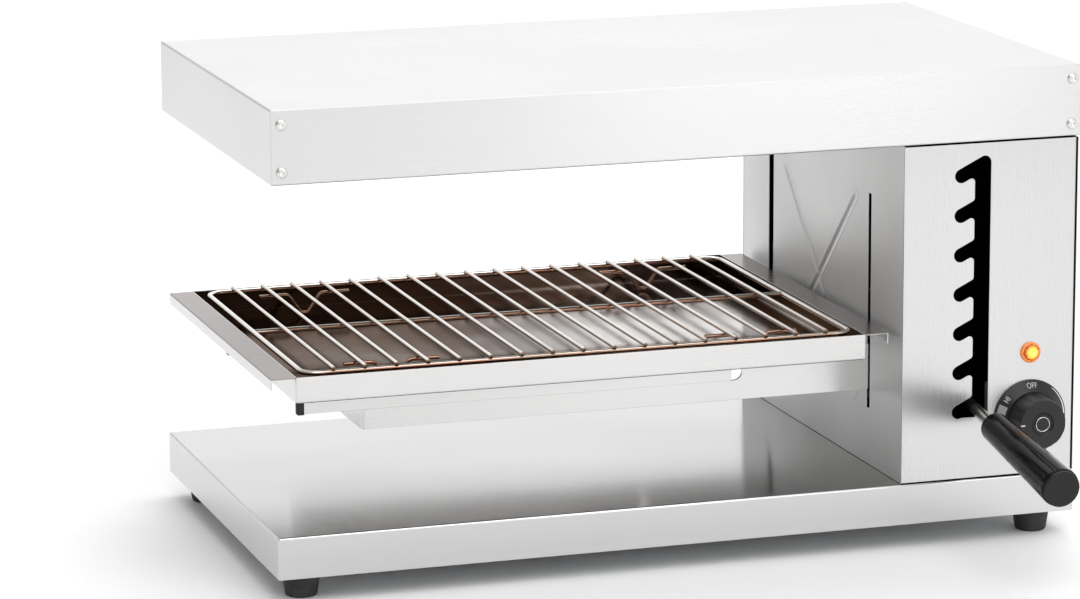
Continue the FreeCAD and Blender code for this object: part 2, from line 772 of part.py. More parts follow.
# The back panel mirrors the front one, with rows of vents and the hole for the mains inlet.
back = new_body("column_back_panel", "column_left", "0", "base_height")
add(back, "XY", [[("0", "depth"), ("panel_right", "depth"), ("panel_right", "depth - fold"),
                  ("panel_right - metal", "depth - fold"), ("panel_right - metal", "depth - metal"),
                  ("0", "depth - metal")]],
    "seam", panel_top)
soften(back, "bend", along("z", x="panel_right", y="depth"))
back_vent_x = "(panel_right - vent_length) / 2"
back_vent_z = "pivot_height - base_height + ear_half_height + fold"
back_vent = cut(back, "XZ", [box_corners(back_vent_x, f"{back_vent_x} + vent_length",
                                         back_vent_z, f"{back_vent_z} + vent_width")],
                "depth - metal - overrun", "depth + overrun")
repeat(back, [back_vent], "Z", "vent_count", "(vent_count - 1) * vent_pitch")
back_screw_x = "fold / 2"
cut(back, "XZ", [("gland_from_wall", "gland_height", "gland_thread / 2 + fit_clear")]
    + [(back_screw_x, z, "hole_radius") for z in cover_screw_rows],
    "depth - metal - overrun", "depth + overrun")
cut(back, "YZ", [("depth - fold_screw", z, "hole_radius") for z in cover_screw_rows],
    "panel_right - metal - overrun", "panel_right + overrun")
cut(wall, "XZ", [(back_screw_x, z, "hole_radius") for z in cover_screw_rows],
    f"{wall_back} - metal - overrun", f"{wall_back} + overrun")
group_piece("back_panel_screws", [
    screw(Vector(value(f"column_left + {back_screw_x}"), value("depth"), value(f"base_height + {z}")),
          Vector(0, 1, 0), "flat_head_height", "shank_length")
    for z in cover_screw_rows])

# The hood cover is a sheet folded down at the left, right and back. Two flanges at its open front
# take the fascia's screws, and vents over the column let its heat out at the back.
hood = new_body("hood_cover", "0", "fascia + fit_clear", "hood_bottom")
hood_depth = "depth - fascia - fit_clear"
add(hood, "XY", [box_corners("0", "width", "0", hood_depth)], "0", "hood_height")
soften(hood, "bend", along("z", y=hood_depth), along("x", y=hood_depth, z="hood_height"),
       along("y", z="hood_height"))
cut(hood, "XY", [box_corners("metal", "width - metal", "-overrun", f"{hood_depth} - metal")],
    "-overrun", "hood_height - metal")
flange_low = "metal + fit_clear + overrun"
for low, high in (("metal / 2", "hood_flange"), ("width - hood_flange", "width - metal / 2")):
    add(hood, "XZ", [box_corners(low, high, flange_low, "hood_height - metal / 2")], "0", "metal")
fascia_spots = [(x, z) for x in ("fascia_screw_side", "width - fascia_screw_side")
                for z in ("fascia_screw_low", "fascia_screw_high")]
cut(hood, "XZ", [(x, z, "hole_radius") for x, z in fascia_spots], "-overrun", "metal + overrun")
hood_vent_z = "(hood_height - hood_vent_length) / 2"
hood_vent = cut(hood, "XZ", [box_corners("column_left + fold", "column_left + fold + vent_width",
                                         hood_vent_z, f"{hood_vent_z} + hood_vent_length")],
                f"{hood_depth} - metal - overrun", f"{hood_depth} + overrun")
repeat(hood, [hood_vent], "X", "hood_vent_count", "(hood_vent_count - 1) * vent_pitch")

# The fascia closes the hood's front. Its lower edge is folded back.
front = new_body("hood_front_fascia", "0", "0", "hood_bottom")
add(front, "YZ", [[("0", "0"), ("fascia_fold", "0"), ("fascia_fold", "metal"), ("fascia", "metal"),
                   ("fascia", "hood_height"), ("0", "hood_height")]],
    "0", "width")
soften(front, "bend", along("x", y="0", z="0"))
for low, high in (("-overrun", "metal + fit_clear"), ("width - metal - fit_clear", "width + overrun")):
    cut(front, "XY", [box_corners(low, high, "fascia", "fascia_fold + overrun")],
        "-overrun", "metal + fit_clear")
cut(front, "XZ", [(x, z, "hole_radius") for x, z in fascia_spots], "-overrun", "fascia + overrun")
group_piece("hood_fascia_screws", [
    screw(Vector(value(x), 0, value(f"hood_bottom + {z}")), Vector(0, -1, 0), "head_height",
          "shank_length")
    for x, z in fascia_spots])

# The plate under the hood frames the heater's mouth. Its edges are turned up inside the cover.
under = new_body("hood_underside", "metal + fit_clear", "fascia_fold + fit_clear", "hood_bottom")
under_x = "width - 2 * (metal + fit_clear)"
under_y = "depth - metal - 2 * fit_clear - fascia_fold"
add(under, "XY", [box_corners("0", under_x, "0", under_y)], "0", "bottom_lip")
cut(under, "XY", [box_corners("metal", f"{under_x} - metal", "metal", f"{under_y} - metal")],
    "metal", "bottom_lip + overrun")
mouth_x = "heater_left - metal - fit_clear"
mouth_y = "heater_front - fascia_fold - fit_clear"
cut(under, "XY", [box_corners(mouth_x, f"{mouth_x} + heater_width", mouth_y, f"{mouth_y} + heater_depth")],
    "-overrun", "metal + overrun")
cut(under, "XY", [("column_left + column_width / 2", "depth / 3", "wiring_hole / 2")],
    "-overrun", "metal + overrun")

# The reflector is a shallow dish over the elements, with sloping sides and a flange round its mouth.
dish = new_body("reflector", "heater_left", "heater_front", "hood_bottom + metal")


def dish_box(inset):
    return box_corners(inset, f"heater_width - ({inset})", inset, f"heater_depth - ({inset})")


add(dish, "XY", [dish_box("-reflector_flange")], "0", "metal")
loft(dish, "AdditiveLoft", "XY", [("0", dish_box("0")), ("reflector_rise", dish_box("reflector_slope"))])
loft(dish, "SubtractiveLoft", "XY", [("0", dish_box("metal")),
                                     ("reflector_rise - metal", dish_box("reflector_slope + metal"))])
element_front = "depth / 2 - (element_count - 1) / 2 * element_pitch"
leg_places = [f"{element_front} + {n} * element_pitch + {side} * element_leg_gap / 2"
              for n in range(int(SIZES["element_count"])) for side in (-1, 1)]
cut(dish, "YZ", [(f"{y} - heater_front", "element_height - metal", "element_size / 2 + fit_clear")
                 for y in leg_places],
    "heater_width - reflector_slope - 2 * metal", "heater_width + overrun")

# Each element is a tube bent into a hairpin, whose cold ends come out over the column.
for n, label in enumerate(("heating_element_front", "heating_element_middle", "heating_element_back")):
    middle = f"{element_front} + {n} * element_pitch"
    bend_x = "element_left + element_leg_gap / 2 + element_size / 2"
    legs = [solid_of(label + "_leg", "Cylinder", bend_x, f"{middle} + {side} * element_leg_gap / 2",
                     "element_z", (1, 0, 0), Radius="element_size / 2",
                     Height=f"element_right - ({bend_x})") for side in (-1, 1)]
    bend = solid_of(label + "_bend", "Torus", bend_x, middle, "element_z",
                    Radius1="element_leg_gap / 2", Radius2="element_size / 2")
    bend.Placement = Placement(Vector(), Rotation(Vector(0, 0, 1), 90))
    bend.Angle3 = 180
    keep(join(label, legs + [bend]), label)

# Two strips hang from the reflector and hold the elements.
for label, strip_x in (("element_support_left", "heater_left + heater_width * support_share"),
                       ("element_support_right", "heater_left + heater_width * (1 - support_share)")):
    strip = new_body(label, strip_x, "0", "hood_bottom")
    strip_top = "reflector_rise"
    strip_front = "heater_front + reflector_slope + 2 * metal"
    add(strip, "YZ", [box_corners(strip_front, f"depth - ({strip_front})", "support_low", strip_top)],
        "0", "metal")
    add(strip, "YZ", [box_corners(strip_front, f"depth - ({strip_front})", f"{strip_top} - metal",
                                  strip_top)], "metal / 2", "support_tab")
    cut(strip, "YZ", [(y, "element_height", "element_size / 2 + fit_clear") for y in leg_places],
        "-overrun", "metal + overrun")

# Ceramic bushes and flat terminals sit on the cold ends.
bushes = []
terminals = []
for leg_y in leg_places:
    spot = Vector(value("insulator_left"), value(leg_y), value("element_z"))
    ring = Part.makeCylinder(value("insulator_size / 2"), value("insulator_length"), spot, Vector(1, 0, 0))
    hole = Part.makeCylinder(value("element_size / 2 + run_clear"), value("insulator_length"), spot,
                             Vector(1, 0, 0))
    bushes.append(ring.cut(hole))
    corner = Vector(value("element_right"), value(f"{leg_y} - terminal_width / 2"),
                    value("element_z - terminal_thickness / 2"))
    terminals.append(Part.makeBox(value("terminal_length"), value("terminal_width"),
                                  value("terminal_thickness"), corner))
group_piece("element_insulators", bushes)
group_piece("element_terminals", terminals)

# The guide brackets are angles on the inner wall, above and below the carriage.
guide_span = "guide_high - guide_low"
for label, seat, outer, leg_end, low, high in (
        ("guide_bracket_bottom", "guide_low", "guide_low - thick_metal", "guide_low + guide_flange",
         "guide_low - thick_metal - overrun", "guide_low + overrun"),
        ("guide_bracket_top", "guide_high", "guide_high + thick_metal", "guide_high - guide_flange",
         "guide_high - overrun", "guide_high + thick_metal + overrun")):
    angle = new_body(label, "wall_inside", "0", "0")
    add(angle, "XZ", [[("0", outer), ("guide_leg", outer), ("guide_leg", seat), ("thick_metal", seat),
                       ("thick_metal", leg_end), ("0", leg_end)]],
        "guide_front - guide_margin", "guide_back + guide_margin")
    cut(angle, "XY", [("guide_from_wall", y, "guide_screw_size / 2 + shank_clear")
                      for y in ("guide_front", "guide_back")], low, high)

# The guide rods stand between the brackets, each held by a screw at either end.
for label, rod_y in (("guide_rod_front", "guide_front"), ("guide_rod_back", "guide_back")):
    rod = new_body(label, "guide_x", rod_y, "guide_low")
    add(rod, "XY", [("0", "0", "guide_size / 2")], "0", guide_span)
    thread = "guide_screw_length + fit_clear"
    cut(rod, "XY", [("0", "0", "guide_screw_size / 2")], "-overrun", thread)
    cut(rod, "XY", [("0", "0", "guide_screw_size / 2")], f"{guide_span} - ({thread})",
        f"{guide_span} + overrun")
guide_screws = []
for rod_y in ("guide_front", "guide_back"):
    for seat, way in (("guide_low - thick_metal", -1), ("guide_high + thick_metal", 1)):
        spot = Vector(value("guide_x"), value(rod_y), value(seat))
        outward = Vector(0, 0, way)
        head = Part.makeCylinder(value("guide_screw_size"), value("guide_head_height"), spot, outward)
        stem = Part.makeCylinder(value("guide_screw_size / 2 - run_clear"),
                                 value("guide_screw_length + thick_metal"), spot, outward * -1)
        guide_screws.append(head.fuse(stem))
group_piece("guide_rod_screws", guide_screws)

# The carrier is one strip of plate, bent into a U. Its legs pass through the wall's slots and end in
# tabs on the carriage. The upper edge is cut back where the shelf bars stand on it.
carrier = new_body("carrier_frame")
leg_outline = [("arm_end", "arm_low"), ("tab_right", "arm_low"), ("tab_right", "arm_high"),
               ("arm_step", "arm_high"), ("arm_step", "bar_low"), ("arm_end", "bar_low")]
leg_front = "slot_front - thick_metal / 2"
leg_back = "slot_back + thick_metal / 2"
add(carrier, "XZ", [leg_outline], leg_front, f"{leg_front} + thick_metal")
add(carrier, "YZ", [box_corners(leg_front, leg_back, "arm_low", "bar_low")],
    "arm_end", "arm_end + thick_metal")
add(carrier, "XZ", [leg_outline], f"{leg_back} - thick_metal", leg_back)
for low, high in ((leg_front, f"{leg_front} + tab_length"), (f"{leg_back} - tab_length", leg_back)):
    add(carrier, "YZ", [box_corners(low, high, "arm_low", "arm_high")], "tab_right - thick_metal",
        "tab_right")
soften(carrier, "arm_step_round", along("y", x="arm_step", z="bar_low"))
soften(carrier, "arm_bend", along("z", x="arm_end", y=leg_front), along("z", x="arm_end", y=leg_back))
tab_hole_z = ["arm_low + arm_height / 4", "arm_high - arm_height / 4"]
tab_hole_y = [f"{leg_front} + thick_metal + tab_length / 2", f"{leg_back} - thick_metal - tab_length / 2"]
tab_spots = [(y, z) for y in tab_hole_y for z in tab_hole_z]
cut(carrier, "YZ", [(y, z, "hole_radius") for y, z in tab_spots], "tab_right - thick_metal - overrun",
    "tab_right + overrun")

# Two flat bars stand on the cut-back edge and carry the tray. A plastic cap grips the left end of each.
bar_places = {"shelf_bar_front": "slot_front - bar_thickness / 2",
              "shelf_bar_back": "slot_back - bar_thickness / 2"}
for label, bar_y in bar_places.items():
    bar = new_body(label, "bar_left", bar_y, "bar_low")
    add(bar, "XY", [box_corners("0", "bar_length", "0", "bar_thickness")], "0", "bar_height")
    soften(bar, "bar_cap_wall", along("x", z="bar_height"))
caps = []
cap_wall = value("bar_cap_wall")
gap = value("fit_clear / 3")
for bar_y in bar_places.values():
    low = Vector(value("bar_left - bar_cap_front"), value(bar_y) - cap_wall, value("bar_low") - cap_wall)
    cap = Part.makeBox(value("bar_cap_front + bar_cap_grip"), value("bar_thickness") + 2 * cap_wall,
                       value("bar_height") + cap_wall, low)
    rim = [e for e in cap.Edges if abs(e.CenterOfMass.x - low.x) < gap]
    cap = cap.makeFillet(value("bar_cap_round"), rim)
    room = Part.makeBox(value("bar_cap_grip + overrun"), value("bar_thickness") + 2 * gap,
                        value("bar_height + overrun") + gap,
                        Vector(value("bar_left") - gap, value(bar_y) - gap, value("bar_low") - gap))
    caps.append(cap.cut(room))
group_piece("bar_end_caps", caps)

# The carriage plate hangs inside the column and joins both arms to the slide blocks.
plate = new_body("carriage_plate")
add(plate, "YZ", [box_corners(f"{leg_front} - plate_margin", f"{leg_back} + plate_margin",
                              "plate_low", "plate_high")], "tab_right", "plate_right")
soften(plate, "plate_margin / 2", along("x"))
cut(plate, "YZ", [(y, z, "hole_radius") for y, z in tab_spots], "tab_right - overrun",
    "plate_right + overrun")
group_piece("carriage_screws", [
    screw(Vector(value("plate_right"), value(y), value(z)), Vector(1, 0, 0), "head_height",
          "thick_metal + thick_metal + fit_clear") for y, z in tab_spots])
for label, block_y in (("slide_block_front", "guide_front"), ("slide_block_back", "guide_back")):
    block = new_body(label, "plate_right", block_y, "arm_low + block_low")
    add(block, "XY", [box_corners("0", "block_depth", "-block_width / 2", "block_width / 2")],
        "0", "block_height")
    soften(block, "block_edge", along("z", x="block_depth"), along("y", x="block_depth"), kind="Chamfer")
    cut(block, "XY", [("guide_x - plate_right", "0", "guide_size / 2 + run_clear")],
        "-overrun", "block_height + overrun")

# The lifting bracket stands across the lever. The lever's rod lies in its window, with room below
# it because the carriage runs straight while the rod swings.
bracket = new_body("lifting_bracket", "plate_right", "0", "lever_at_bracket")
web_front = "lift_bracket - thick_metal / 2"
rim_low = "-(window_reach + lever_lag + lift_bracket_rim)"
rim_high = "window_reach + lift_bracket_rim"
add(bracket, "XY", [[("0", web_front), ("lift_bracket_reach", web_front),
                     ("lift_bracket_reach", f"{web_front} + thick_metal"),
                     ("thick_metal", f"{web_front} + thick_metal"),
                     ("thick_metal", "lift_bracket + lift_flange"), ("0", "lift_bracket + lift_flange")]],
    rim_low, rim_high)
window_left = "latch_place - rod_radius - plate_right - seam"
window_right = "lever_rest + lever_play + rod_radius - plate_right + seam"
cut(bracket, "XZ", [box_corners(window_left, window_right, "-(window_reach + lever_lag)",
                                "window_reach")], f"{web_front} - overrun",
    f"{web_front} + thick_metal + overrun")

# The pivot bracket is a U of plate on the back panel. Its ears hold the shaft that the lever's
# sleeve slides on.
pivot = new_body("pivot_bracket", "0", "0", "pivot_height")
ear_front = "pivot_from_front - ear_half_height"
ear_box = [box_corners(ear_front, "bracket_back", "-ear_half_height", "ear_half_height")]
add(pivot, "XZ", [box_corners("ear_left - ear_thickness", "ear_right + ear_thickness",
                              "-ear_half_height", "ear_half_height")],
    "bracket_back - ear_thickness", "bracket_back")
for low in ("ear_left - ear_thickness", "ear_right"):
    add(pivot, "YZ", ear_box, low, f"{low} + ear_thickness")
soften(pivot, "ear_half_height - seam", along("x", y=ear_front, z="ear_half_height"),
       along("x", y=ear_front, z="-ear_half_height"))
cut(pivot, "YZ", [("pivot_from_front", "0", "shaft_size / 2 + run_clear")],
    "ear_left - ear_thickness - overrun", "ear_right + ear_thickness + overrun")
shaft_left = "ear_left - ear_thickness - shaft_overhang"
shaft_right = "ear_right + ear_thickness + shaft_overhang"
keep(solid_of("pivot_shaft", "Cylinder", shaft_left, "pivot_from_front", "pivot_height", (1, 0, 0),
              Radius="shaft_size / 2", Height=f"{shaft_right} - ({shaft_left})"), "pivot_shaft")
clips = []
for clip_x in ("ear_left - ear_thickness - fit_clear - clip_thickness",
               "ear_right + ear_thickness + fit_clear"):
    spot = Vector(value(clip_x), value("pivot_from_front"), value("pivot_height"))
    disc = Part.makeCylinder(value("clip_size / 2"), value("clip_thickness"), spot, Vector(1, 0, 0))
    bore = Part.makeCylinder(value("shaft_size / 2 + run_clear"), value("clip_thickness"), spot,
                             Vector(1, 0, 0))
    clips.append(disc.cut(bore))
group_piece("shaft_clips", clips)

# The sleeve slides along the shaft, and the hub turns on it between two collars.
sleeve = new_body("pivot_sleeve", "lever_rest", "pivot_from_front", "pivot_height")
bore = "shaft_size / 2 + run_clear"
collar_in = "hub_width / 2 + fit_clear"
collar_out = "collar_span / 2"
turn(sleeve, "XZ", [(f"-{collar_out}", bore), (collar_out, bore), (collar_out, "sleeve_collar_size / 2"),
                    (collar_in, "sleeve_collar_size / 2"), (collar_in, "sleeve_size / 2"),
                    (f"-({collar_in})", "sleeve_size / 2"),
                    (f"-({collar_in})", "sleeve_collar_size / 2"),
                    (f"-{collar_out}", "sleeve_collar_size / 2")], "H_Axis")

# The lever: a hub with a boss, a steel rod through the panel, a grooved grip and its end cap. Each is
# drawn along -Y from the pivot and tipped down to the lowest notch.
hub = new_body("lever_hub", "lever_rest", "pivot_from_front", "pivot_height", tilt="rest_tilt")
add(hub, "YZ", [("0", "0", "hub_size / 2")], "-hub_width / 2", "hub_width / 2")
add(hub, "XZ", [("0", "0", "hub_boss_size / 2")], "-hub_boss_reach", "0")
cut(hub, "YZ", [("0", "0", "sleeve_size / 2 + run_clear")], "-hub_width / 2 - overrun",
    "hub_width / 2 + overrun")
rod_start = "sleeve_size / 2 + run_clear + metal"
cut(hub, "XZ", [("0", "0", "rod_radius + run_clear")], "-hub_boss_reach - overrun", f"-({rod_start})")

rod_end = "lever_length - cap_thickness - fit_clear - grip_floor"
lever_rod = new_body("lever_rod", "lever_rest", "pivot_from_front", "pivot_height", tilt="rest_tilt")
add(lever_rod, "XZ", [("0", "0", "rod_radius")], f"-({rod_end})", f"-({rod_start} + fit_clear)")

grip = new_body("lever_grip", "lever_rest", "pivot_from_front", "pivot_height", tilt="rest_tilt")
grip_far = "lever_length - cap_thickness - fit_clear"
grip_near = f"{grip_far} - grip_length"
grip_bore = "rod_radius + run_clear"
turn(grip, "XY", [(grip_bore, f"-({grip_near})"), ("grip_small_size / 2", f"-({grip_near})"),
                  ("grip_large_size / 2", f"-({grip_far})"), ("0", f"-({grip_far})"),
                  ("0", f"-({rod_end} + fit_clear)"), (grip_bore, f"-({rod_end} + fit_clear)")],
     "V_Axis")
soften(grip, "grip_round", rim_at("y", "grip_small_size / 2", f"-({grip_near})"))
soften(grip, "grip_edge", rim_at("y", "grip_large_size / 2", f"-({grip_far})"))


def groove_at(place, radius):
    """A groove's three-cornered outline at a place along the grip, a little to the left of its top."""
    corners = []
    for side, out in (("0", f"({radius} - groove_depth)"), ("groove_size", f"({radius} + groove_depth)"),
                      ("-groove_size", f"({radius} + groove_depth)")):
        corners.append((f"{side} * cos(groove_angle) - {out} * sin(groove_angle)",
                        f"{side} * sin(groove_angle) + {out} * cos(groove_angle)"))
    return place, corners


groove = loft(grip, "SubtractiveLoft", "XZ", [
    groove_at(f"{grip_near} - overrun", "(grip_small_size / 2 - overrun * grip_slope)"),
    groove_at(f"{grip_far} + overrun", "(grip_large_size / 2 + overrun * grip_slope)")])
repeat_round(grip, [groove], "Y", "groove_count")

end_cap = new_body("grip_end_cap", "lever_rest", "pivot_from_front", "pivot_height", tilt="rest_tilt")
cap_back = "lever_length - cap_thickness"
turn(end_cap, "XY", [("0", f"-({cap_back})"), ("cap_size / 2", f"-({cap_back})"),
                     ("cap_size / 2", "-(lever_length - cap_edge)"),
                     ("cap_size / 2 - cap_edge", "-lever_length"), ("0", "-lever_length")], "V_Axis")

# The drip tray is folded from one sheet, with a flange and a lip on its left and right sides.
tray = new_body("drip_tray", "0", "tray_front", "tray_low")
basin_right = "tray_width - tray_flange"
add(tray, "XY", [box_corners("tray_flange", basin_right, "0", "tray_depth")], "0", "tray_height")
soften(tray, "bend", along("z"), along("x", z="0"), along("y", z="0"))
cut(tray, "XY", [box_corners("tray_flange + metal", f"{basin_right} - metal", "metal",
                             "tray_depth - metal")], "metal", "tray_height + overrun")
rim = "tray_height - metal"
lip = "tray_height - tray_lip"
add(tray, "XZ", [[("0", lip), ("metal", lip), ("metal", rim), ("tray_flange + metal / 2", rim),
                  ("tray_flange + metal / 2", "tray_height"), ("0", "tray_height")]],
    "bend", "tray_depth - bend")
add(tray, "XZ", [[("tray_width", lip), ("tray_width - metal", lip), ("tray_width - metal", rim),
                  (f"{basin_right} - metal / 2", rim), (f"{basin_right} - metal / 2", "tray_height"),
                  ("tray_width", "tray_height")]], "bend", "tray_depth - bend")
soften(tray, "bend / 2", along("y", x="0", z="tray_height"), along("y", x="tray_width", z="tray_height"))

# The rack: a wire frame with round corners, wires across it from front to back, and a bar below them
# through the middle, all welded.
rack_right = "rack_left + rack_width"
rack_back = "rack_front + rack_depth"
wires = []
for wire_y in ("rack_front", rack_back, "rack_front + rack_depth / 2"):
    inset = "0" if wire_y.endswith("/ 2") else "rack_corner"
    wires.append(solid_of("rack_bar", "Cylinder", f"rack_left + {inset}", wire_y, "rack_height", (1, 0, 0),
                          Radius="rack_wire / 2", Height=f"rack_width - 2 * {inset}"))
for wire_x in ("rack_left", rack_right):
    wires.append(solid_of("rack_side", "Cylinder", wire_x, "rack_front + rack_corner", "rack_height",
                          (0, 1, 0), Radius="rack_wire / 2", Height="rack_depth - 2 * rack_corner"))
rack_corners = [("rack_left + rack_corner", "rack_front + rack_corner", 180),
                (f"{rack_right} - rack_corner", "rack_front + rack_corner", 270),
                (f"{rack_right} - rack_corner", f"{rack_back} - rack_corner", 0),
                ("rack_left + rack_corner", f"{rack_back} - rack_corner", 90)]
for corner_x, corner_y, start in rack_corners:
    corner = solid_of("rack_corner", "Torus", corner_x, corner_y, "rack_height",
                      Radius1="rack_corner", Radius2="rack_wire / 2")
    corner.Placement = Placement(Vector(), Rotation(Vector(0, 0, 1), start))
    corner.Angle3 = 90
    wires.append(corner)
for n in range(int(SIZES["cross_count"])):
    wire_x = f"rack_left + rack_width / 2 + ({n} - (cross_count - 1) / 2) * cross_pitch"
    wires.append(solid_of("rack_cross_wire", "Cylinder", wire_x, "rack_front - rack_wire / 2",
                          "cross_height", (0, 1, 0), Radius="cross_wire / 2",
                          Height="rack_depth + rack_wire"))
keep(join("wire_rack", wires), "wire_rack")

# Four short wires under the rack dip to the floor of the tray and are its feet.
wave_bends = "2 * foot_wire_bend * (1 - cos(foot_wire_angle))"
wave_slope = value(f"(foot_wire_drop - {wave_bends}) / sin(foot_wire_angle)")
wave_steps = [("run", value("foot_wire_run")), ("bend", -1), ("run", wave_slope), ("bend", 1), ("bend", 1),
              ("run", wave_slope), ("bend", -1), ("run", value("foot_wire_run"))]


def foot_wire(start_x, wire_y):
    """A round wire that runs level, dips to the tray's floor in smooth bends and comes up again."""
    radius = value("cross_wire / 2")
    bend = value("foot_wire_bend")
    angle = value("foot_wire_angle")
    spot = Vector(start_x, wire_y, value("foot_wire_top"))
    heading = 0
    spans = []
    for kind, amount in wave_steps:
        ahead = Rotation(Vector(0, -1, 0), heading)
        if kind == "run":
            spans.append(Part.makeCylinder(radius, amount, spot, ahead.multVec(Vector(1, 0, 0))))
            spot = spot + ahead.multVec(Vector(amount, 0, 0))
        else:
            side = ahead.multVec(Vector(0, 0, bend * amount))
            centre = spot + side
            turned = Rotation(Vector(0, -1, 0), amount * angle)
            ring = Part.makeTorus(bend, radius, Vector(), Vector(0, 0, 1), -180, 180, angle)
            frame = Rotation(side * -1, Vector(), Vector(0, -amount, 0), "XZY")
            ring.Placement = Placement(centre, frame)
            spans.append(ring)
            spot = centre + turned.multVec(side * -1)
            heading += amount * angle
    whole = spans[0].multiFuse(spans[1:])
    return whole.removeSplitter(), spot.x


foot_wires = []
wire_length = foot_wire(0, 0)[1]
for start_x in (value("rack_left + foot_wire_side_gap"),
                value(f"{rack_right} - foot_wire_side_gap") - wire_length):
    for wire_y in ("rack_front + foot_wire_end_gap", f"{rack_back} - foot_wire_end_gap"):
        foot_wires.append(foot_wire(start_x, value(wire_y))[0])
group_piece("rack_feet", foot_wires)

# The control: a regulator behind the panel with its spindle, a fixed dial ring and the knob.
regulator = new_body("energy_regulator", "knob_x", "metal", "knob_z")
half_plate = "regulator_width / 2 + regulator_plate_margin"
add(regulator, "XZ", [box_corners(f"-({half_plate})", half_plate, "-regulator_height / 2",
                                  "regulator_height / 2")], "0", "regulator_plate")
add(regulator, "XZ", [box_corners("-regulator_width / 2", "regulator_width / 2",
                                  "-regulator_height / 2", "regulator_height / 2")],
    "regulator_plate", "regulator_plate + regulator_depth")
add(regulator, "XZ", [("0", "0", "neck_size / 2")], "-metal - fit_clear", "regulator_plate")
spindle_in = "spindle_length - spindle_in_knob - dial_rise"
cut(regulator, "XZ", [("0", "0", "spindle_size / 2 + run_clear")], "-metal - overrun",
    f"{spindle_in}")
tabs_depth = "regulator_plate + regulator_depth"
for n in (-1, 0, 1):
    add(regulator, "XZ", [box_corners(f"{n} * regulator_width / 3 - terminal_thickness / 2",
                                      f"{n} * regulator_width / 3 + terminal_thickness / 2",
                                      "-terminal_width / 2", "terminal_width / 2")],
        f"{tabs_depth} - metal", f"{tabs_depth} + terminal_width")

ring_body = new_body("dial_ring", "knob_x", "0", "knob_z")
ring_bore = "neck_size / 2 + neck_clear"
turn(ring_body, "XY", [(ring_bore, "0"), ("dial_size / 2", "0"), ("dial_size / 2", "-dial_rim"),
                       ("dial_top_size / 2", "-dial_rise"), (ring_bore, "-dial_rise")], "V_Axis")

spindle = new_body("regulator_shaft", "knob_x", "0", "knob_z")
spindle_front = "-(dial_rise + fit_clear + spindle_in_knob)"
add(spindle, "XZ", [("0", "0", "spindle_size / 2")], spindle_front, f"{spindle_front} + spindle_length")

knob = new_body("control_knob", "knob_x", "0", "knob_z")
knob_back = "dial_rise + fit_clear"
knob_front = f"{knob_back} + knob_rise"
dish_floor = f"{knob_front} - knob_dish_depth"
disc_front = f"{dish_floor} + knob_disc_height"
turn(knob, "XY", [("0", f"-({knob_back})"), ("knob_size / 2", f"-({knob_back})"),
                  ("knob_top_size / 2", f"-({knob_front})"), ("knob_dish_size / 2", f"-({knob_front})"),
                  ("knob_dish_size / 2 - knob_dish_depth", f"-({dish_floor})"),
                  ("knob_disc_size / 2", f"-({dish_floor})"), ("knob_disc_size / 2", f"-({disc_front})"),
                  ("0", f"-({disc_front})")], "V_Axis")
soften(knob, "knob_round", rim_at("y", "knob_top_size / 2", f"-({knob_front})"))
cut(knob, "XZ", [("0", "0", "spindle_size / 2 + run_clear")],
    f"-({knob_back} + spindle_in_knob + fit_clear)", f"-({knob_back}) + overrun")
knob_slope = "(knob_size - knob_top_size) / 2 / knob_rise"
scallop_out = "scallop_size / 2 - scallop_depth"
scallop = loft(knob, "SubtractiveLoft", "XZ", [
    (f"{knob_back} - overrun",
     ("0", f"knob_size / 2 + overrun * {knob_slope} + {scallop_out}", "scallop_size / 2")),
    (f"{knob_front} + overrun",
     ("0", f"knob_top_size / 2 - overrun * {knob_slope} + {scallop_out}", "scallop_size / 2"))])
repeat_round(knob, [scallop], "Y", "scallop_count")

# The pilot lamp: a bezel with a barrel through the panel, a domed lens and a nut behind.
bezel = new_body("pilot_lamp_bezel", "knob_x", "0", "lamp_z")
lens_bore = "lens_size / 2 + fit_clear"
turn(bezel, "XY", [(lens_bore, "-lamp_flange"), ("lamp_size / 2 - metal", "-lamp_flange"),
                   ("lamp_size / 2", "-lamp_flange + metal"), ("lamp_size / 2", "0"),
                   ("lamp_barrel / 2", "0"), ("lamp_barrel / 2", "lamp_barrel_length"),
                   ("0", "lamp_barrel_length"), ("0", "lens_depth"), (lens_bore, "lens_depth")], "V_Axis")
lens = new_body("pilot_lamp_lens", "knob_x", "0", "lamp_z")
lens_front = "lamp_flange + lens_dome"
turn(lens, "XY", [("0", "lens_depth - fit_clear"), ("lens_size / 2", "lens_depth - fit_clear"),
                  ("lens_size / 2", "-lamp_flange"), ("lens_size / 3", f"-({lens_front}) + metal / 2"),
                  ("lens_size / 6", f"-({lens_front})"), ("0", f"-({lens_front})")], "V_Axis")


def six_sided(across, x="0", y="0"):
    """A hexagon, given by its width across the flats."""
    return [(f"{x} + ({across}) / sqrt(3) * cos({60 * side})",
             f"{y} + ({across}) / sqrt(3) * sin({60 * side})") for side in range(6)]


nut = new_body("pilot_lamp_nut", "knob_x", "metal + fit_clear", "lamp_z")
add(nut, "XZ", [six_sided("lamp_nut")], "0", "lamp_nut_thickness")
cut(nut, "XZ", [("0", "0", "lamp_barrel / 2 + run_clear")], "-overrun", "lamp_nut_thickness + overrun")

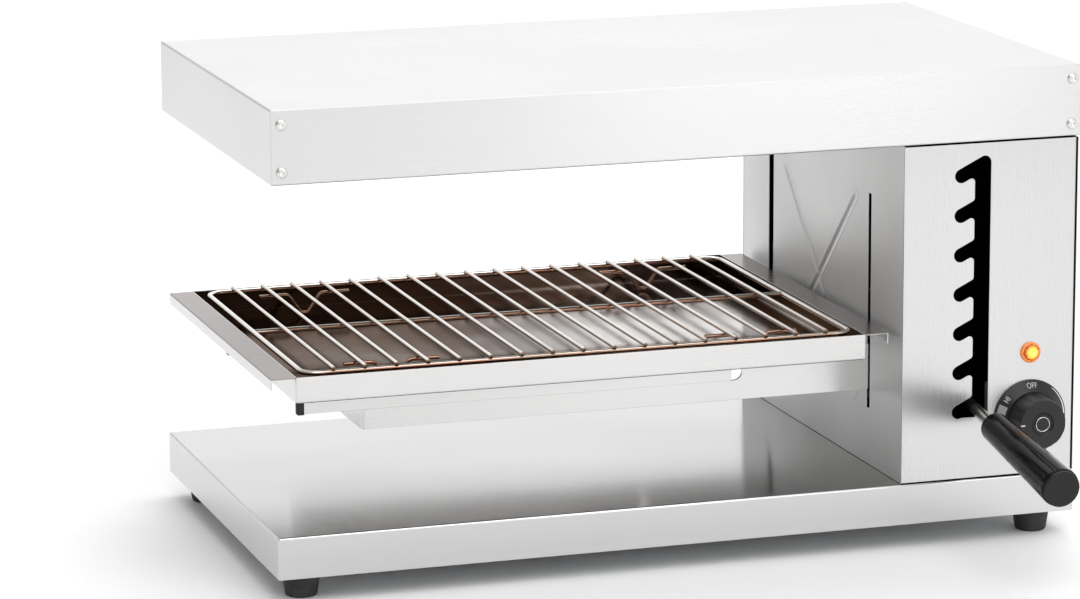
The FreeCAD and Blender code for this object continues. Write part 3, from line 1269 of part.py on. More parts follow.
# The mains inlet is a gland in the back panel with its nut inside. It is empty: there is no lead.
gland = new_body("cable_gland", "gland_x", "depth", "gland_z")
add(gland, "XZ", [six_sided("gland_hex")], "0", "gland_collar")
add(gland, "XZ", [("0", "0", "gland_tip / 2")], "gland_collar / 2", "gland_reach")
soften(gland, "gland_collar / 4", rim_at("y", "gland_tip / 2", "gland_reach"))
add(gland, "XZ", [("0", "0", "gland_thread / 2")], "-gland_inner - metal", "gland_collar / 2")
cut(gland, "XZ", [("0", "0", "gland_bore / 2")], "-gland_inner - metal - overrun", "gland_reach + overrun")
gland_nut = new_body("gland_nut", "gland_x", "depth - metal - fit_clear", "gland_z")
add(gland_nut, "XZ", [six_sided("gland_hex")], "-gland_nut_thickness", "0")
cut(gland_nut, "XZ", [("0", "0", "gland_thread / 2 + run_clear")], "-gland_nut_thickness - overrun",
    "overrun")

# The terminal block stands on the base, inside the column, with a well for each wire's screw.
block = new_body("terminal_block", "wall_inside + terminal_block_from_wall",
                 "depth - terminal_block_back", "base_height")
add(block, "XY", [box_corners("0", "block_length", "0", "terminal_block_depth")],
    "0", "terminal_block_height")
soften(block, "fit_clear", along("z"), kind="Chamfer")
well = cut(block, "XY", [("block_length / well_count / 2", "terminal_block_depth / 2", "well_size / 2")],
           "terminal_block_height - well_depth", "terminal_block_height + overrun")
repeat(block, [well], "X", "well_count", "block_length * (well_count - 1) / well_count")

# Nothing is written unless every object is sound and every piece is a closed shape.
doc.recompute()
for item in doc.Objects:
    if "Invalid" in item.State or "Error" in item.State:
        raise RuntimeError(f"{item.Label} failed: {item.State}")
for label, item in pieces.items():
    shape = item.Shape
    if shape.isNull() or not shape.isValid() or not shape.Solids:
        raise RuntimeError(f"{label} is not a sound solid")
for label, item in pieces.items():
    item.Shape.exportStep(f"parts/{label}.step")
print(len(pieces), "pieces; middle", round(value("middle_x"), 4), round(value("middle_y"), 4),
      "travel", round(value("carriage_travel"), 4))
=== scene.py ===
import math

import bmesh
import bpy
import numpy as np
from mathutils import Matrix, Vector


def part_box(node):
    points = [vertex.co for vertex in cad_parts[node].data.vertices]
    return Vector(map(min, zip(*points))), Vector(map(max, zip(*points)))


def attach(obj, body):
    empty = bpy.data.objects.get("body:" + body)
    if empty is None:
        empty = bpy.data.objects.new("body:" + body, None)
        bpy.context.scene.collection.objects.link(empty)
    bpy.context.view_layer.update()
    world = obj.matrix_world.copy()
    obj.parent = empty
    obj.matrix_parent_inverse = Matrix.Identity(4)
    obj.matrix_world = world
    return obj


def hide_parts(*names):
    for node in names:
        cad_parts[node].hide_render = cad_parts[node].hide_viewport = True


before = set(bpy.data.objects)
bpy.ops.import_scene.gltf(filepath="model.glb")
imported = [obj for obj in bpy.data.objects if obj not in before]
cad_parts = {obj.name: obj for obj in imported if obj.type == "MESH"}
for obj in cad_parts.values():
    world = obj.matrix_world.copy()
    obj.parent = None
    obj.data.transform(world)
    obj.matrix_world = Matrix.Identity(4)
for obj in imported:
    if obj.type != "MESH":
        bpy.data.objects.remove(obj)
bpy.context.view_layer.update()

# The base: a pan folded from one sheet of satin stainless steel, with a plain galvanised plate below.
# The sheet is brushed along its length, which leaves fine lines, and hands leave faint clouds on it.


def add_node(tree, kind, values=None, **settings):
    """A shader node. Its settings are given by name, and its sockets get numbers or other sockets."""
    node = tree.nodes.new("ShaderNode" + kind)
    for key, setting in settings.items():
        setattr(node, key, setting)
    for key, value in (values or {}).items():
        if isinstance(value, bpy.types.NodeSocket):
            tree.links.new(value, node.inputs[key])
        else:
            node.inputs[key].default_value = value
    return node


def new_finish(name):
    """A material with one principled shader, and the object's own coordinates in metres."""
    material = bpy.data.materials.new(name)
    material.use_nodes = True
    tree = material.node_tree
    tree.nodes.clear()
    surface = add_node(tree, "BsdfPrincipled")
    add_node(tree, "OutputMaterial", {0: surface.outputs[0]})
    return material, tree, surface, add_node(tree, "TexCoord").outputs["Object"]


def add_up(tree, first, second):
    return add_node(tree, "Math", {0: first, 1: second}).outputs[0]


def multiply(tree, first, second):
    return add_node(tree, "Math", {0: first, 1: second}, operation="MULTIPLY").outputs[0]


def noise_at(tree, place, per_metre, detail=2.0, shift=0.0):
    """Soft noise of the coordinates, with its own number of waves per metre along X, Y and Z."""
    scaled = add_node(tree, "Mapping", {"Vector": place, "Location": (shift,) * 3, "Scale": per_metre})
    noise = add_node(tree, "TexNoise", {"Vector": scaled.outputs[0], "Scale": 1.0, "Detail": detail})
    return noise.outputs[0]


def spread(tree, amount, low, high, start=0.3, end=0.7):
    """The amount from start to end, drawn out evenly from low to high and held there."""
    return add_node(tree, "MapRange", {0: amount, 1: start, 2: end, 3: low, 4: high}).outputs[0]


def blend_colours(tree, amount, first, second):
    """The first colour where the amount is 0 and the second where it is 1."""
    colours = [c if isinstance(c, bpy.types.NodeSocket) else (*c, 1.0) for c in (first, second)]
    return add_node(tree, "Mix", {0: amount, 6: colours[0], 7: colours[1]}, data_type="RGBA").outputs[2]


def shade(colour, share):
    return tuple(channel * share for channel in colour)


def link_looks(tree, surface, colour, roughness, relief):
    """Link a finish's colour, its roughness and its fine relief to the shader."""
    for socket, source in (("Base Color", colour), ("Roughness", roughness), ("Normal", relief.outputs[0])):
        tree.links.new(source, surface.inputs[socket])


LINES_ALONG, LINES_ACROSS = 12.0, 1900.0
BANDS_ALONG, BANDS_ACROSS = 3.0, 160.0
LINE_SHADE, STRETCH = 0.97, 0.75


def brushed_steel(name, grain, colour, roughness, across=None, line_depth=0.02, edge=0.0005, cloud=0.03):
    """Satin steel with fine lines along one axis, soft clouds, and edges that catch the light.

    Across is the way of the tangent, and turns the long reflections across the lines.
    """
    material, tree, surface, place = new_finish(name)
    fine = tuple(LINES_ALONG if axis == grain else LINES_ACROSS for axis in "xyz")
    broad = tuple(BANDS_ALONG if axis == grain else BANDS_ACROSS for axis in "xyz")
    lines = noise_at(tree, place, fine, 3.0)
    bands = noise_at(tree, place, broad, 2.0, 3.1)
    clouds = noise_at(tree, place, (5.0, 6.0, 5.5), 3.0, 1.7)
    tone = blend_colours(tree, spread(tree, lines, 0, 1), shade(colour, LINE_SHADE), colour)
    tone = blend_colours(tree, spread(tree, bands, 0, 0.5), tone, shade(colour, LINE_SHADE))
    tone = blend_colours(tree, spread(tree, clouds, 0, 0.5), tone, shade(colour, 1 - 2 * cloud))
    rough = add_up(tree, spread(tree, lines, -0.01, 0.012),
                   spread(tree, clouds, roughness - cloud / 2, roughness + cloud))
    soft = add_node(tree, "Bevel", {"Radius": edge}, samples=6)
    relief = add_node(tree, "Bump", {"Height": lines, "Strength": line_depth, "Distance": 0.0004,
                                     "Normal": soft.outputs[0]})
    surface.inputs["Metallic"].default_value = 1.0
    link_looks(tree, surface, tone, rough, relief)
    if across:
        surface.inputs["Anisotropic"].default_value = STRETCH
        way = add_node(tree, "CombineXYZ", {0: across[0], 1: across[1], 2: across[2]})
        tree.links.new(way.outputs[0], surface.inputs["Tangent"])
    return material


def dress(material, *names):
    """Give CAD nodes a finish through their own material slots."""
    for name in names:
        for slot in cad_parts[name].material_slots:
            slot.material = material


base_low, base_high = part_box("base_pan")
STAINLESS = (0.64, 0.64, 0.635)
base_sheet = brushed_steel("base sheet", "x", STAINLESS, 0.15, (0, 1, 1))
dress(base_sheet, "base_pan")
galvanised = brushed_steel("galvanised sheet", "y", (0.55, 0.56, 0.57), 0.42, cloud=0.12)
dress(galvanised, "base_bottom_plate")

# Four feet of moulded black rubber, each pulled up against the base by a screw in its recess. The
# rubber is matt, a little dusty, and finely pitted.


def moulded(name, colour, roughness, pits, depth, dust=0.0, gloss=0.35):
    """A moulded material with pits of a size in metres, and soft patches of wear and dust."""
    material, tree, surface, place = new_finish(name)
    grain = noise_at(tree, place, (1 / pits,) * 3, 2.0)
    wear = noise_at(tree, place, (60.0, 70.0, 65.0), 4.0, 2.3)
    tone = blend_colours(tree, spread(tree, grain, 0, 1), shade(colour, 0.85), shade(colour, 1.12))
    tone = blend_colours(tree, spread(tree, wear, 0, dust, 0.45, 0.75), tone, (0.35, 0.33, 0.30))
    rough = add_up(tree, spread(tree, grain, -0.02, 0.03),
                   spread(tree, wear, roughness * 0.9, roughness * 1.2))
    soft = add_node(tree, "Bevel", {"Radius": 0.0003}, samples=4)
    relief = add_node(tree, "Bump", {"Height": grain, "Strength": depth, "Distance": 0.0002,
                                     "Normal": soft.outputs[0]})
    surface.inputs["Specular IOR Level"].default_value = gloss
    link_looks(tree, surface, tone, rough, relief)
    return material


dress(moulded("foot rubber", (0.022, 0.022, 0.023), 0.62, 0.0006, 0.25, dust=0.08),
      "foot_front_left", "foot_front_right", "foot_back_left", "foot_back_right")
zinc = brushed_steel("zinc plate", "z", (0.36, 0.355, 0.33), 0.42, cloud=0.10)
dress(zinc, "foot_screws")

# The column: an inner wall of stainless steel with a cross pressed into it, a front panel cut for the
# lever, a flat side cover and a back panel. Their sheets are brushed from top to bottom.
# The faces that look into the column are painted dark as shade, without their metal's shine.
SHEET = 0.001
PAST, SHORT = "GREATER_THAN", "LESS_THAN"
INSIDE_SHADE = (0.012, 0.012, 0.012)
wall_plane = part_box("column_inner_wall")[0].x
panel_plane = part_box("column_front_panel")[0].y
side_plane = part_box("column_side_cover")[1].x
back_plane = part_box("column_back_panel")[1].y


def within_limits(tree, place, limits):
    """One where the place passes every limit, and zero elsewhere: the product of the limits' tests.

    A limit is an axis, a value in metres and a test.
    """
    spot = add_node(tree, "SeparateXYZ", {0: place})
    within = None
    for axis, limit, test in limits:
        step = add_node(tree, "Math", {0: spot.outputs[axis], 1: limit}, operation=test).outputs[0]
        within = step if within is None else multiply(tree, within, step)
    return within


def opened(material):
    """The tree, the shader and the coordinates of a finish, so that more can be linked to it."""
    tree = material.node_tree
    surface = next(node for node in tree.nodes if node.type == "BSDF_PRINCIPLED")
    place = next(node for node in tree.nodes if node.type == "TEX_COORD").outputs["Object"]
    return tree, surface, place


def paint_shade_inside(material, *limits):
    """Paint shade on the part of a sheet that lies past the limits: dark, without its metal's shine."""
    tree, surface, place = opened(material)
    within = within_limits(tree, place, limits)
    old = surface.inputs["Base Color"].links[0].from_socket
    tree.links.new(blend_colours(tree, within, old, INSIDE_SHADE), surface.inputs["Base Color"])
    bright = add_node(tree, "Math", {0: 1.0, 1: within}, operation="SUBTRACT")
    tree.links.new(bright.outputs[0], surface.inputs["Metallic"])
    surface.inputs["Specular IOR Level"].default_value = 0.0
    return material


WALL = ("z", (0.75, 0.75, 0.745), 0.50, None, 0.01)
WALL_CLOUD = 0.06
wall_sheet = brushed_steel("wall sheet", *WALL, edge=0.0004, cloud=WALL_CLOUD)
# The base's top inside the column is painted shade too.
paint_shade_inside(base_sheet, (0, wall_plane + SHEET / 2, PAST), (0, side_plane - SHEET / 2, SHORT),
            (1, panel_plane + SHEET / 2, PAST), (1, back_plane - SHEET / 2, SHORT),
            (2, base_high.z - SHEET / 2, PAST))
dress(paint_shade_inside(wall_sheet, (0, wall_plane + SHEET / 2, PAST)), "column_inner_wall")
panel_sheet = brushed_steel("panel sheet", "z", STAINLESS, 0.27, (1, 0, 0))
dress(paint_shade_inside(panel_sheet, (1, panel_plane + SHEET / 2, PAST)), "column_front_panel")
side_sheet = brushed_steel("side sheet", "z", STAINLESS, 0.27, (0, 1, 0))
dress(paint_shade_inside(side_sheet, (0, side_plane - SHEET / 2, SHORT)), "column_side_cover")
back_sheet = brushed_steel("back sheet", "z", STAINLESS, 0.27, (1, 0, 0))
dress(paint_shade_inside(back_sheet, (1, back_plane - SHEET / 2, SHORT)), "column_back_panel")

# A cross is pressed into the inner wall to stiffen it. Its grooves are shallow with round bottoms, and
# they run out softly at their four ends.
wall_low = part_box("column_inner_wall")[0]
BEAD_BACK, BEAD_UP = 0.16545, 0.1223
BEAD_HALF, BEAD_LONG, BEAD_DEEP = 0.0043, 0.1083, 0.0008
RUN_OUT, MARGIN, FLUSH, CROSS_SHEET = 0.012, 0.0006, 0.00001, 0.0002
CROSS_STEPS = 371


def new_object(name, data):
    """An object at the origin, linked to the scene."""
    thing = bpy.data.objects.new(name, data)
    bpy.context.collection.objects.link(thing)
    return thing


def groove_share(along, across):
    """A raised cosine across the groove, times a soft fade over its last few millimetres."""
    hollow = (1 + np.cos(np.pi * np.clip(np.abs(across) / BEAD_HALF, 0, 1))) / 2
    fade = np.clip((BEAD_LONG - np.abs(along)) / RUN_OUT, 0, 1)
    return hollow * (1 - np.cos(np.pi * fade)) / 2


def pressed_cross():
    """The face of two crossed grooves, on a grid turned by half a right angle.

    The depth left undug is the product of what each groove leaves, so that the two merge softly.
    """
    steps = np.linspace(-BEAD_LONG - MARGIN, BEAD_LONG + MARGIN, CROSS_STEPS)
    first, second = np.meshgrid(steps, steps, indexing="ij")
    dip = 1 - (1 - groove_share(first, second)) * (1 - groove_share(second, first))
    spots = np.stack([wall_low.x - FLUSH + dip * (BEAD_DEEP + FLUSH),
                      wall_low.y + BEAD_BACK + (first + second) / math.sqrt(2),
                      wall_low.z + BEAD_UP + (first - second) / math.sqrt(2)], -1).reshape(-1, 3)
    near = np.abs(steps) < BEAD_HALF + MARGIN
    kept = near[:-1, None] | near[None, :-1]
    grid = np.arange(CROSS_STEPS ** 2).reshape(CROSS_STEPS, CROSS_STEPS)
    quads = np.stack([grid[:-1, :-1], grid[1:, :-1], grid[1:, 1:], grid[:-1, 1:]], -1)[kept]
    used, quads = np.unique(quads, return_inverse=True)
    mesh = bpy.data.meshes.new("wall_cross")
    mesh.from_pydata(spots[used], [], quads.reshape(-1, 4).tolist())
    mesh.polygons.foreach_set("use_smooth", np.ones(len(mesh.polygons), bool))
    mesh.materials.append(brushed_steel("cross sheet", *WALL, edge=FLUSH, cloud=WALL_CLOUD))
    cross = new_object("wall_cross", mesh)
    sheet = cross.modifiers.new("sheet", "SOLIDIFY")
    sheet.thickness, sheet.offset = CROSS_SHEET, -1
    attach(cross, "root")


pressed_cross()

# Low round-headed screws of stainless steel hold the side cover and the back panel, and higher ones
# the fascia. Each head is pressed to a dome, with a six-sided socket for its key.


def skin(name, points, material, body, sharp=35.0):
    """A closed mesh over rows of points. Each row is a ring, and the first and last rows are capped."""
    rows, columns, _ = points.shape
    grid = np.arange(rows * columns).reshape(rows, columns)
    near, far = grid[:-1], grid[1:]
    quads = np.stack([near, np.roll(near, -1, 1), np.roll(far, -1, 1), far], -1).reshape(-1, 4)
    mesh = bpy.data.meshes.new(name)
    mesh.from_pydata(points.reshape(-1, 3), [], [*quads.tolist(), grid[0].tolist(), grid[-1].tolist()])
    shell = bmesh.new()
    shell.from_mesh(mesh)
    bmesh.ops.recalc_face_normals(shell, faces=shell.faces)
    shell.to_mesh(mesh)
    shell.free()
    mesh.polygons.foreach_set("use_smooth", np.ones(len(mesh.polygons), bool))
    mesh.set_sharp_from_angle(angle=math.radians(sharp))
    mesh.materials.append(material)
    piece = new_object(name, mesh)
    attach(piece, body)
    return piece


def facing(way):
    """The turn that takes a shape drawn round +Z to a shape that faces the way given."""
    return np.array(Vector((0, 0, 1)).rotation_difference(Vector(way)).to_matrix())


def round_rings(profile, sides, corners=None):
    """Rings about Z through a profile of radii and heights, some of them drawn out to a hexagon."""
    turns = np.linspace(0, 2 * np.pi, sides, endpoint=False)
    hexagon = 1 / np.cos((turns + np.pi / 6) % (np.pi / 3) - np.pi / 6)
    radii, heights = np.array(profile, float).T
    share = np.zeros(len(radii)) if corners is None else np.array(corners, float)
    radii = radii[:, None] * (1 + share[:, None] * (hexagon - 1))
    heights = np.broadcast_to(heights[:, None], radii.shape)
    return np.stack([radii * np.cos(turns), radii * np.sin(turns), heights], -1)


HEAD, SOCKET, SINK = 0.004, 0.00145, 0.0011
LOW_RISE, HIGH_RISE = 0.0012, 0.0022
HEAD_SIDES, BOW_STEPS = 48, 10
screw_steel = brushed_steel("screw steel", "x", (0.70, 0.69, 0.67), 0.22, line_depth=0.03, edge=0.0002)


def domed_screws(name, node, places, way, height):
    """One mesh of alike screw heads. A head is a quarter ellipse turned about its own axis."""
    bow = np.linspace(0, np.pi / 2 - np.arcsin(SOCKET * 1.25 / HEAD), BOW_STEPS)
    profile = [(HEAD, 0.0)] + [(HEAD * np.cos(t), height * (0.25 + 0.75 * np.sin(t))) for t in bow]
    top = profile[-1][1]
    profile += [(SOCKET, top - 0.0001), (SOCKET, top - SINK), (SOCKET * 0.1, top - SINK * 1.3)]
    rings = round_rings(profile, HEAD_SIDES, [0] * (len(profile) - 3) + [1, 1, 0]) @ facing(way).T
    heads = [skin(f"{name}_{number + 1}", rings + np.array(place), screw_steel, "root")
             for number, place in enumerate(places)]
    first = heads[0]
    with bpy.context.temp_override(active_object=first, selected_editable_objects=heads, object=first):
        bpy.ops.object.join()
    first.name = name
    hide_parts(node)


def screw_rows(node, axis, count):
    """Places of a node's screws along one axis, from its box and the heads' radius."""
    low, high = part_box(node)
    return np.linspace(low[axis] + HEAD, high[axis] - HEAD, count)


domed_screws("side_screw_heads", "side_cover_screws",
             [(side_plane, y, z) for y in screw_rows("side_cover_screws", 1, 2)
              for z in screw_rows("side_cover_screws", 2, 3)], (1, 0, 0), LOW_RISE)
domed_screws("back_screw_heads", "back_panel_screws",
             [(screw_rows("back_panel_screws", 0, 1)[0], back_plane, z)
              for z in screw_rows("back_panel_screws", 2, 3)], (0, 1, 0), LOW_RISE)

# The lower flange of the side cover, folded inwards from the same sheet of stainless steel. It stands
# on the base, just inside the seam, so no light comes through the seam into the column.
cover_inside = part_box("column_side_cover")[0].x
FLANGE_GAP, FLANGE_THICK, FLANGE_UP = 0.00005, 0.0012, 0.0045


def lower_flange():
    """An upright strip along the bottom of the side cover, between the flanges of the two panels."""
    left, right = cover_inside - FLANGE_GAP - FLANGE_THICK, cover_inside - FLANGE_GAP
    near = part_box("column_front_panel")[1].y + SHEET
    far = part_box("column_back_panel")[0].y - SHEET
    ring = [(left, near), (right, near), (right, far), (left, far)]
    bottom, top = base_high.z + FLANGE_GAP, base_high.z + FLANGE_UP
    rows = np.array([[(*spot, height) for spot in ring] for height in (bottom, top)])
    # Inside the cover, the flange's whole face takes the side sheet's painted shade.
    skin("side_cover_flange", rows, side_sheet, "root")


lower_flange()

# The hood: a cover folded at its left, right and back, a fascia over its open front, and a plate below
# with the heater's mouth. The fascia is screwed on at its four corners.
hood_sheet = brushed_steel("hood sheet", "x", STAINLESS, 0.25, (0, 1, 1))
dress(hood_sheet, "hood_cover", "hood_front_fascia", "hood_underside")
fascia_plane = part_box("hood_front_fascia")[0].y
domed_screws("fascia_screw_heads", "hood_fascia_screws",
             [(x, fascia_plane, z) for x in screw_rows("hood_fascia_screws", 0, 2)
              for z in screw_rows("hood_fascia_screws", 2, 2)], (0, -1, 0), HIGH_RISE)

# The heater: a bright reflector and three tubular elements whose steel has gone dark with heat, on
# two strips, with ceramic bushes and plated tags at their cold ends.
dress(brushed_steel("reflector sheet", "x", (0.72, 0.68, 0.60), 0.20, cloud=0.12), "reflector")
dress(zinc, "element_support_left", "element_support_right")


def patched(name, first, second, metallic, low_rough, high_rough, size):
    """A surface that passes from one colour to another in patches of a size in metres."""
    material, tree, surface, place = new_finish(name)
    patches = noise_at(tree, place, (1 / size,) * 3, 5.0)
    specks = noise_at(tree, place, (1400.0,) * 3, 2.0)
    tone = blend_colours(tree, spread(tree, patches, 0, 1, 0.35, 0.65), first, second)
    tone = blend_colours(tree, spread(tree, specks, 0, 0.35), tone, shade(first, 0.6))
    relief = add_node(tree, "Bump", {"Height": specks, "Strength": 0.2, "Distance": 0.0002})
    surface.inputs["Metallic"].default_value = metallic
    link_looks(tree, surface, tone, spread(tree, patches, low_rough, high_rough), relief)
    return material


dress(patched("scaled element", (0.10, 0.085, 0.075), (0.20, 0.16, 0.13), 0.8, 0.45, 0.65, 0.03),
      "heating_element_front", "heating_element_middle", "heating_element_back")
dress(patched("bush ceramic", (0.80, 0.77, 0.70), (0.72, 0.66, 0.56), 0.0, 0.35, 0.55, 0.006),
      "element_insulators")
dress(patched("plated tags", (0.75, 0.72, 0.66), (0.62, 0.56, 0.46), 1.0, 0.25, 0.40, 0.004),
      "element_terminals")

# The guides and the carriage inside the column: two ground steel rods between plated brackets, nylon
# blocks that slide on them, and the plated plate and bracket that the lever lifts.
dress(zinc, "guide_bracket_bottom", "guide_bracket_top", "pivot_bracket", "lifting_bracket",
      "carriage_plate", "guide_rod_screws", "carriage_screws", "shaft_clips")
ground_steel = brushed_steel("ground steel", "z", (0.66, 0.66, 0.66), 0.16, line_depth=0.03)
dress(ground_steel, "guide_rod_front", "guide_rod_back", "pivot_shaft", "pivot_sleeve", "regulator_shaft")
dress(moulded("slide nylon", (0.70, 0.68, 0.62), 0.42, 0.0008, 0.10, dust=0.05),
      "slide_block_front", "slide_block_back")

# The lever: a plated hub on the sleeve, a dull steel rod through the panel, and a grooved grip of
# glossy black bakelite. A flat satin disc closes the grip's end.
dress(zinc, "lever_hub")
rod_steel = brushed_steel("lever steel", "x", (0.44, 0.435, 0.425), 0.30, line_depth=0.05)
# The rod's length inside the column is painted shade.
dress(paint_shade_inside(rod_steel, (1, panel_plane + 3 * SHEET, PAST)), "lever_rod")
dress(moulded("grip bakelite", (0.003, 0.003, 0.0032), 0.13, 0.0025, 0.02, gloss=0.15), "lever_grip")
dress(moulded("grip end", (0.011, 0.011, 0.012), 0.36, 0.0007, 0.05, gloss=0.25), "grip_end_cap")

# The carrier: one strip of plain steel bent to a U, and two flat bars that stand on it, each with a
# black plastic cap over its left end.
carrier_sheet = brushed_steel("carrier steel", "x", (0.67, 0.665, 0.66), 0.26, (0, 0, 1), cloud=0.04)
dress(carrier_sheet, "carrier_frame", "shelf_bar_front", "shelf_bar_back")
dress(moulded("cap plastic", (0.018, 0.018, 0.018), 0.45, 0.0005, 0.12), "bar_end_caps")

# The drip tray: one sheet of stainless steel, folded up on four sides. Its flanges carry no heat tint, but
# the tops of the side flanges and the tray's underside are darkened with painted shade. The heat has
# tinted the basin brown, darkest up its walls, at the back and at the left.
tray_low, tray_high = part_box("drip_tray")
FLANGE = 0.0175
HEAT_TINTS = ((0.0, (0.62, 0.60, 0.585)), (0.28, (0.40, 0.37, 0.35)), (0.52, (0.24, 0.21, 0.19)),
              (0.75, (0.14, 0.095, 0.067)), (1.0, (0.085, 0.055, 0.040)))
FLANGE_TOP_SHADE, UNDER_SHADE = (0.28, 0.25, 0.247), (0.14, 0.11, 0.09)
BARE_SHINE, BROWN_SHINE = (1.0, 1.0, 1.0), (0.46, 0.42, 0.40)


def tinted_tray():
    """Satin steel whose basin is shinier and goes from bare to brown with heat, by place and soft noise."""
    material = brushed_steel("tray sheet", "x", (0.66, 0.65, 0.645), 0.26, (0, 1, 1))
    tree, surface, place = opened(material)
    across, along, up = add_node(tree, "SeparateXYZ", {0: place}).outputs
    inside = within_limits(tree, place, (
        (0, tray_low.x + FLANGE + SHEET / 2, PAST), (0, tray_high.x - FLANGE - SHEET / 2, SHORT),
        (1, tray_low.y + SHEET / 2, PAST), (1, tray_high.y - SHEET / 2, SHORT),
        (2, tray_low.z + SHEET / 2, PAST), (2, tray_high.z - SHEET / 2, SHORT)))
    clouds = noise_at(tree, place, (9.0, 11.0, 12.0), 4.0, 5.3)
    rise = spread(tree, up, 0.0, 0.8, tray_low.z + SHEET, tray_low.z + 4 * SHEET)
    back = spread(tree, along, 0.0, 0.35, tray_high.y - 0.16, tray_high.y)
    left = spread(tree, across, 0.58, 0.0, tray_low.x + 0.17, tray_low.x + 0.29)
    heat = add_up(tree, add_up(tree, back, left), spread(tree, clouds, -0.10, 0.12))
    heat = add_node(tree, "Math", {0: heat, 1: rise}, use_clamp=True).outputs[0]
    tint = add_node(tree, "ValToRGB", {0: heat})
    stops = tint.color_ramp.elements
    stops[0].color, stops[1].color = ((*colour, 1) for _, colour in (HEAT_TINTS[0], HEAT_TINTS[-1]))
    for position, colour in HEAT_TINTS[1:-1]:
        stops.new(position).color = (*colour, 1)
    flange = add_up(tree, spread(tree, across, 1, 0, tray_low.x + FLANGE, tray_low.x + FLANGE + SHEET),
                    spread(tree, across, 0, 1, tray_high.x - FLANGE - SHEET, tray_high.x - FLANGE))
    top = spread(tree, up, 0, 1, tray_high.z - SHEET, tray_high.z - SHEET / 2)
    old = surface.inputs["Base Color"].links[0].from_socket
    # Painted shade darkens the tops of the side flanges.
    old = blend_colours(tree, multiply(tree, flange, top), old, FLANGE_TOP_SHADE)
    # Painted shade turns the tray's underside dark brown.
    underside_shade = spread(tree, up, 1, 0, tray_low.z + SHEET * 0.2, tray_low.z + SHEET * 0.4)
    old = blend_colours(tree, underside_shade, old, UNDER_SHADE)
    tree.links.new(blend_colours(tree, inside, old, tint.outputs[0]), surface.inputs["Base Color"])
    hot = spread(tree, multiply(tree, inside, heat), 0, 1, 0.0, 0.58)
    tree.links.new(blend_colours(tree, hot, BARE_SHINE, BROWN_SHINE), surface.inputs["Specular Tint"])
    satin = surface.inputs["Roughness"].links[0].from_socket
    polished = spread(tree, clouds, 0.09, 0.15)
    rough = add_node(tree, "Mix", {0: inside, 2: satin, 3: polished}, data_type="FLOAT").outputs[0]
    tree.links.new(rough, surface.inputs["Roughness"])
    surface.inputs["Anisotropic"].default_value = 0.0
    return material


dress(tinted_tray(), "drip_tray")

# The rack: drawn steel wire, welded and plated bright, with a little heat tint where it lies over the
# basin. Four bent wires under it are its feet.
rack_low, rack_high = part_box("wire_rack")
RACK_BAR, RACK_SIDE, BAR_FADE = 0.0035, 0.007, 0.0004


def plated_wire():
    """Bright plating with a painted brown shade on its undersides. The lower bars have gone copper between
    the sides.
    """
    material, tree, surface, place = new_finish("rack wire")
    patches = noise_at(tree, place, (26.0, 22.0, 30.0), 3.0, 0.7)
    lines = noise_at(tree, place, (900.0, 60.0, 900.0), 2.0)
    across, _, up = add_node(tree, "SeparateXYZ", {0: place}).outputs
    normal = add_node(tree, "NewGeometry").outputs["Normal"]
    facing_up = add_node(tree, "SeparateXYZ", {0: normal}).outputs[2]
    worn = spread(tree, patches, 0, 0.5, 0.5, 0.8)
    bare = blend_colours(tree, worn, (0.86, 0.83, 0.80), (0.70, 0.58, 0.48))
    # Painted shade: faces that turn downwards are brown, those that turn up keep the bright plating.
    tone = blend_colours(tree, spread(tree, facing_up, 0, 1, 0.15, 0.7), (0.40, 0.26, 0.18), bare)
    copper = blend_colours(tree, spread(tree, patches, 0, 1), (0.38, 0.20, 0.135), (0.25, 0.17, 0.12))
    below = spread(tree, up, 1, 0, rack_low.z + RACK_BAR - BAR_FADE, rack_low.z + RACK_BAR)
    for start, end in ((rack_low.x + RACK_SIDE, rack_low.x + 3 * RACK_SIDE),
                       (rack_high.x - RACK_SIDE, rack_high.x - 3 * RACK_SIDE)):
        below = multiply(tree, below, spread(tree, across, 0, 1, start, end))
    tone = blend_colours(tree, below, tone, copper)
    relief = add_node(tree, "Bump", {"Height": lines, "Strength": 0.03, "Distance": 0.0002})
    surface.inputs["Metallic"].default_value = 1.0
    link_looks(tree, surface, tone, spread(tree, patches, 0.14, 0.26), relief)
    return material


dress(plated_wire(), "wire_rack", "rack_feet")

# The control: a switch behind the panel, a fixed dial ring of satin black plastic with white print, and
# a black knob with shallow flats round its side and a bright ring in its front.
dress(moulded("dial plastic", (0.010, 0.010, 0.011), 0.30, 0.0009, 0.05), "dial_ring")
dress(moulded("knob plastic", (0.012, 0.012, 0.013), 0.38, 0.0005, 0.10), "control_knob")
dress(moulded("switch housing", (0.42, 0.40, 0.36), 0.5, 0.0006, 0.1, dust=0.05), "energy_regulator")

# The print on the dial: OFF at the top, HI at its left, and a band that grows with the heat. It is a
# thin film of white paint on the ring's slope. The band's grey wide end is partly print and partly a
# painted sheen.
ring_low, ring_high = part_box("dial_ring")
dial_x, dial_z = (ring_low.x + ring_high.x) / 2, (ring_low.z + ring_high.z) / 2
DIAL_RIM, DIAL_TOP, RIM_RISE = 0.028, 0.0205, 0.0012
FILM = 0.00006
LETTER, LETTER_GAP, NARROW = 0.0052, 1.06, 0.84
BAND_INSET, BAND_STEPS = 0.0011, 60
print_white = moulded("print paint", (0.78, 0.78, 0.76), 0.5, 0.0004, 0.05)
grey_print_and_sheen = moulded("band paint and sheen", (0.27, 0.27, 0.27), 0.5, 0.0004, 0.05)


def on_dial(radius, turn, lift):
    """Points on the ring's cone, by radius and by angle clockwise from the top, lifted off it."""
    slope = (ring_high.y - ring_low.y - RIM_RISE) / (DIAL_RIM - DIAL_TOP)
    front = ring_high.y - RIM_RISE - (DIAL_RIM - radius) * slope - lift
    return np.stack([dial_x + radius * np.sin(turn), front, dial_z + radius * np.cos(turn)], -1)


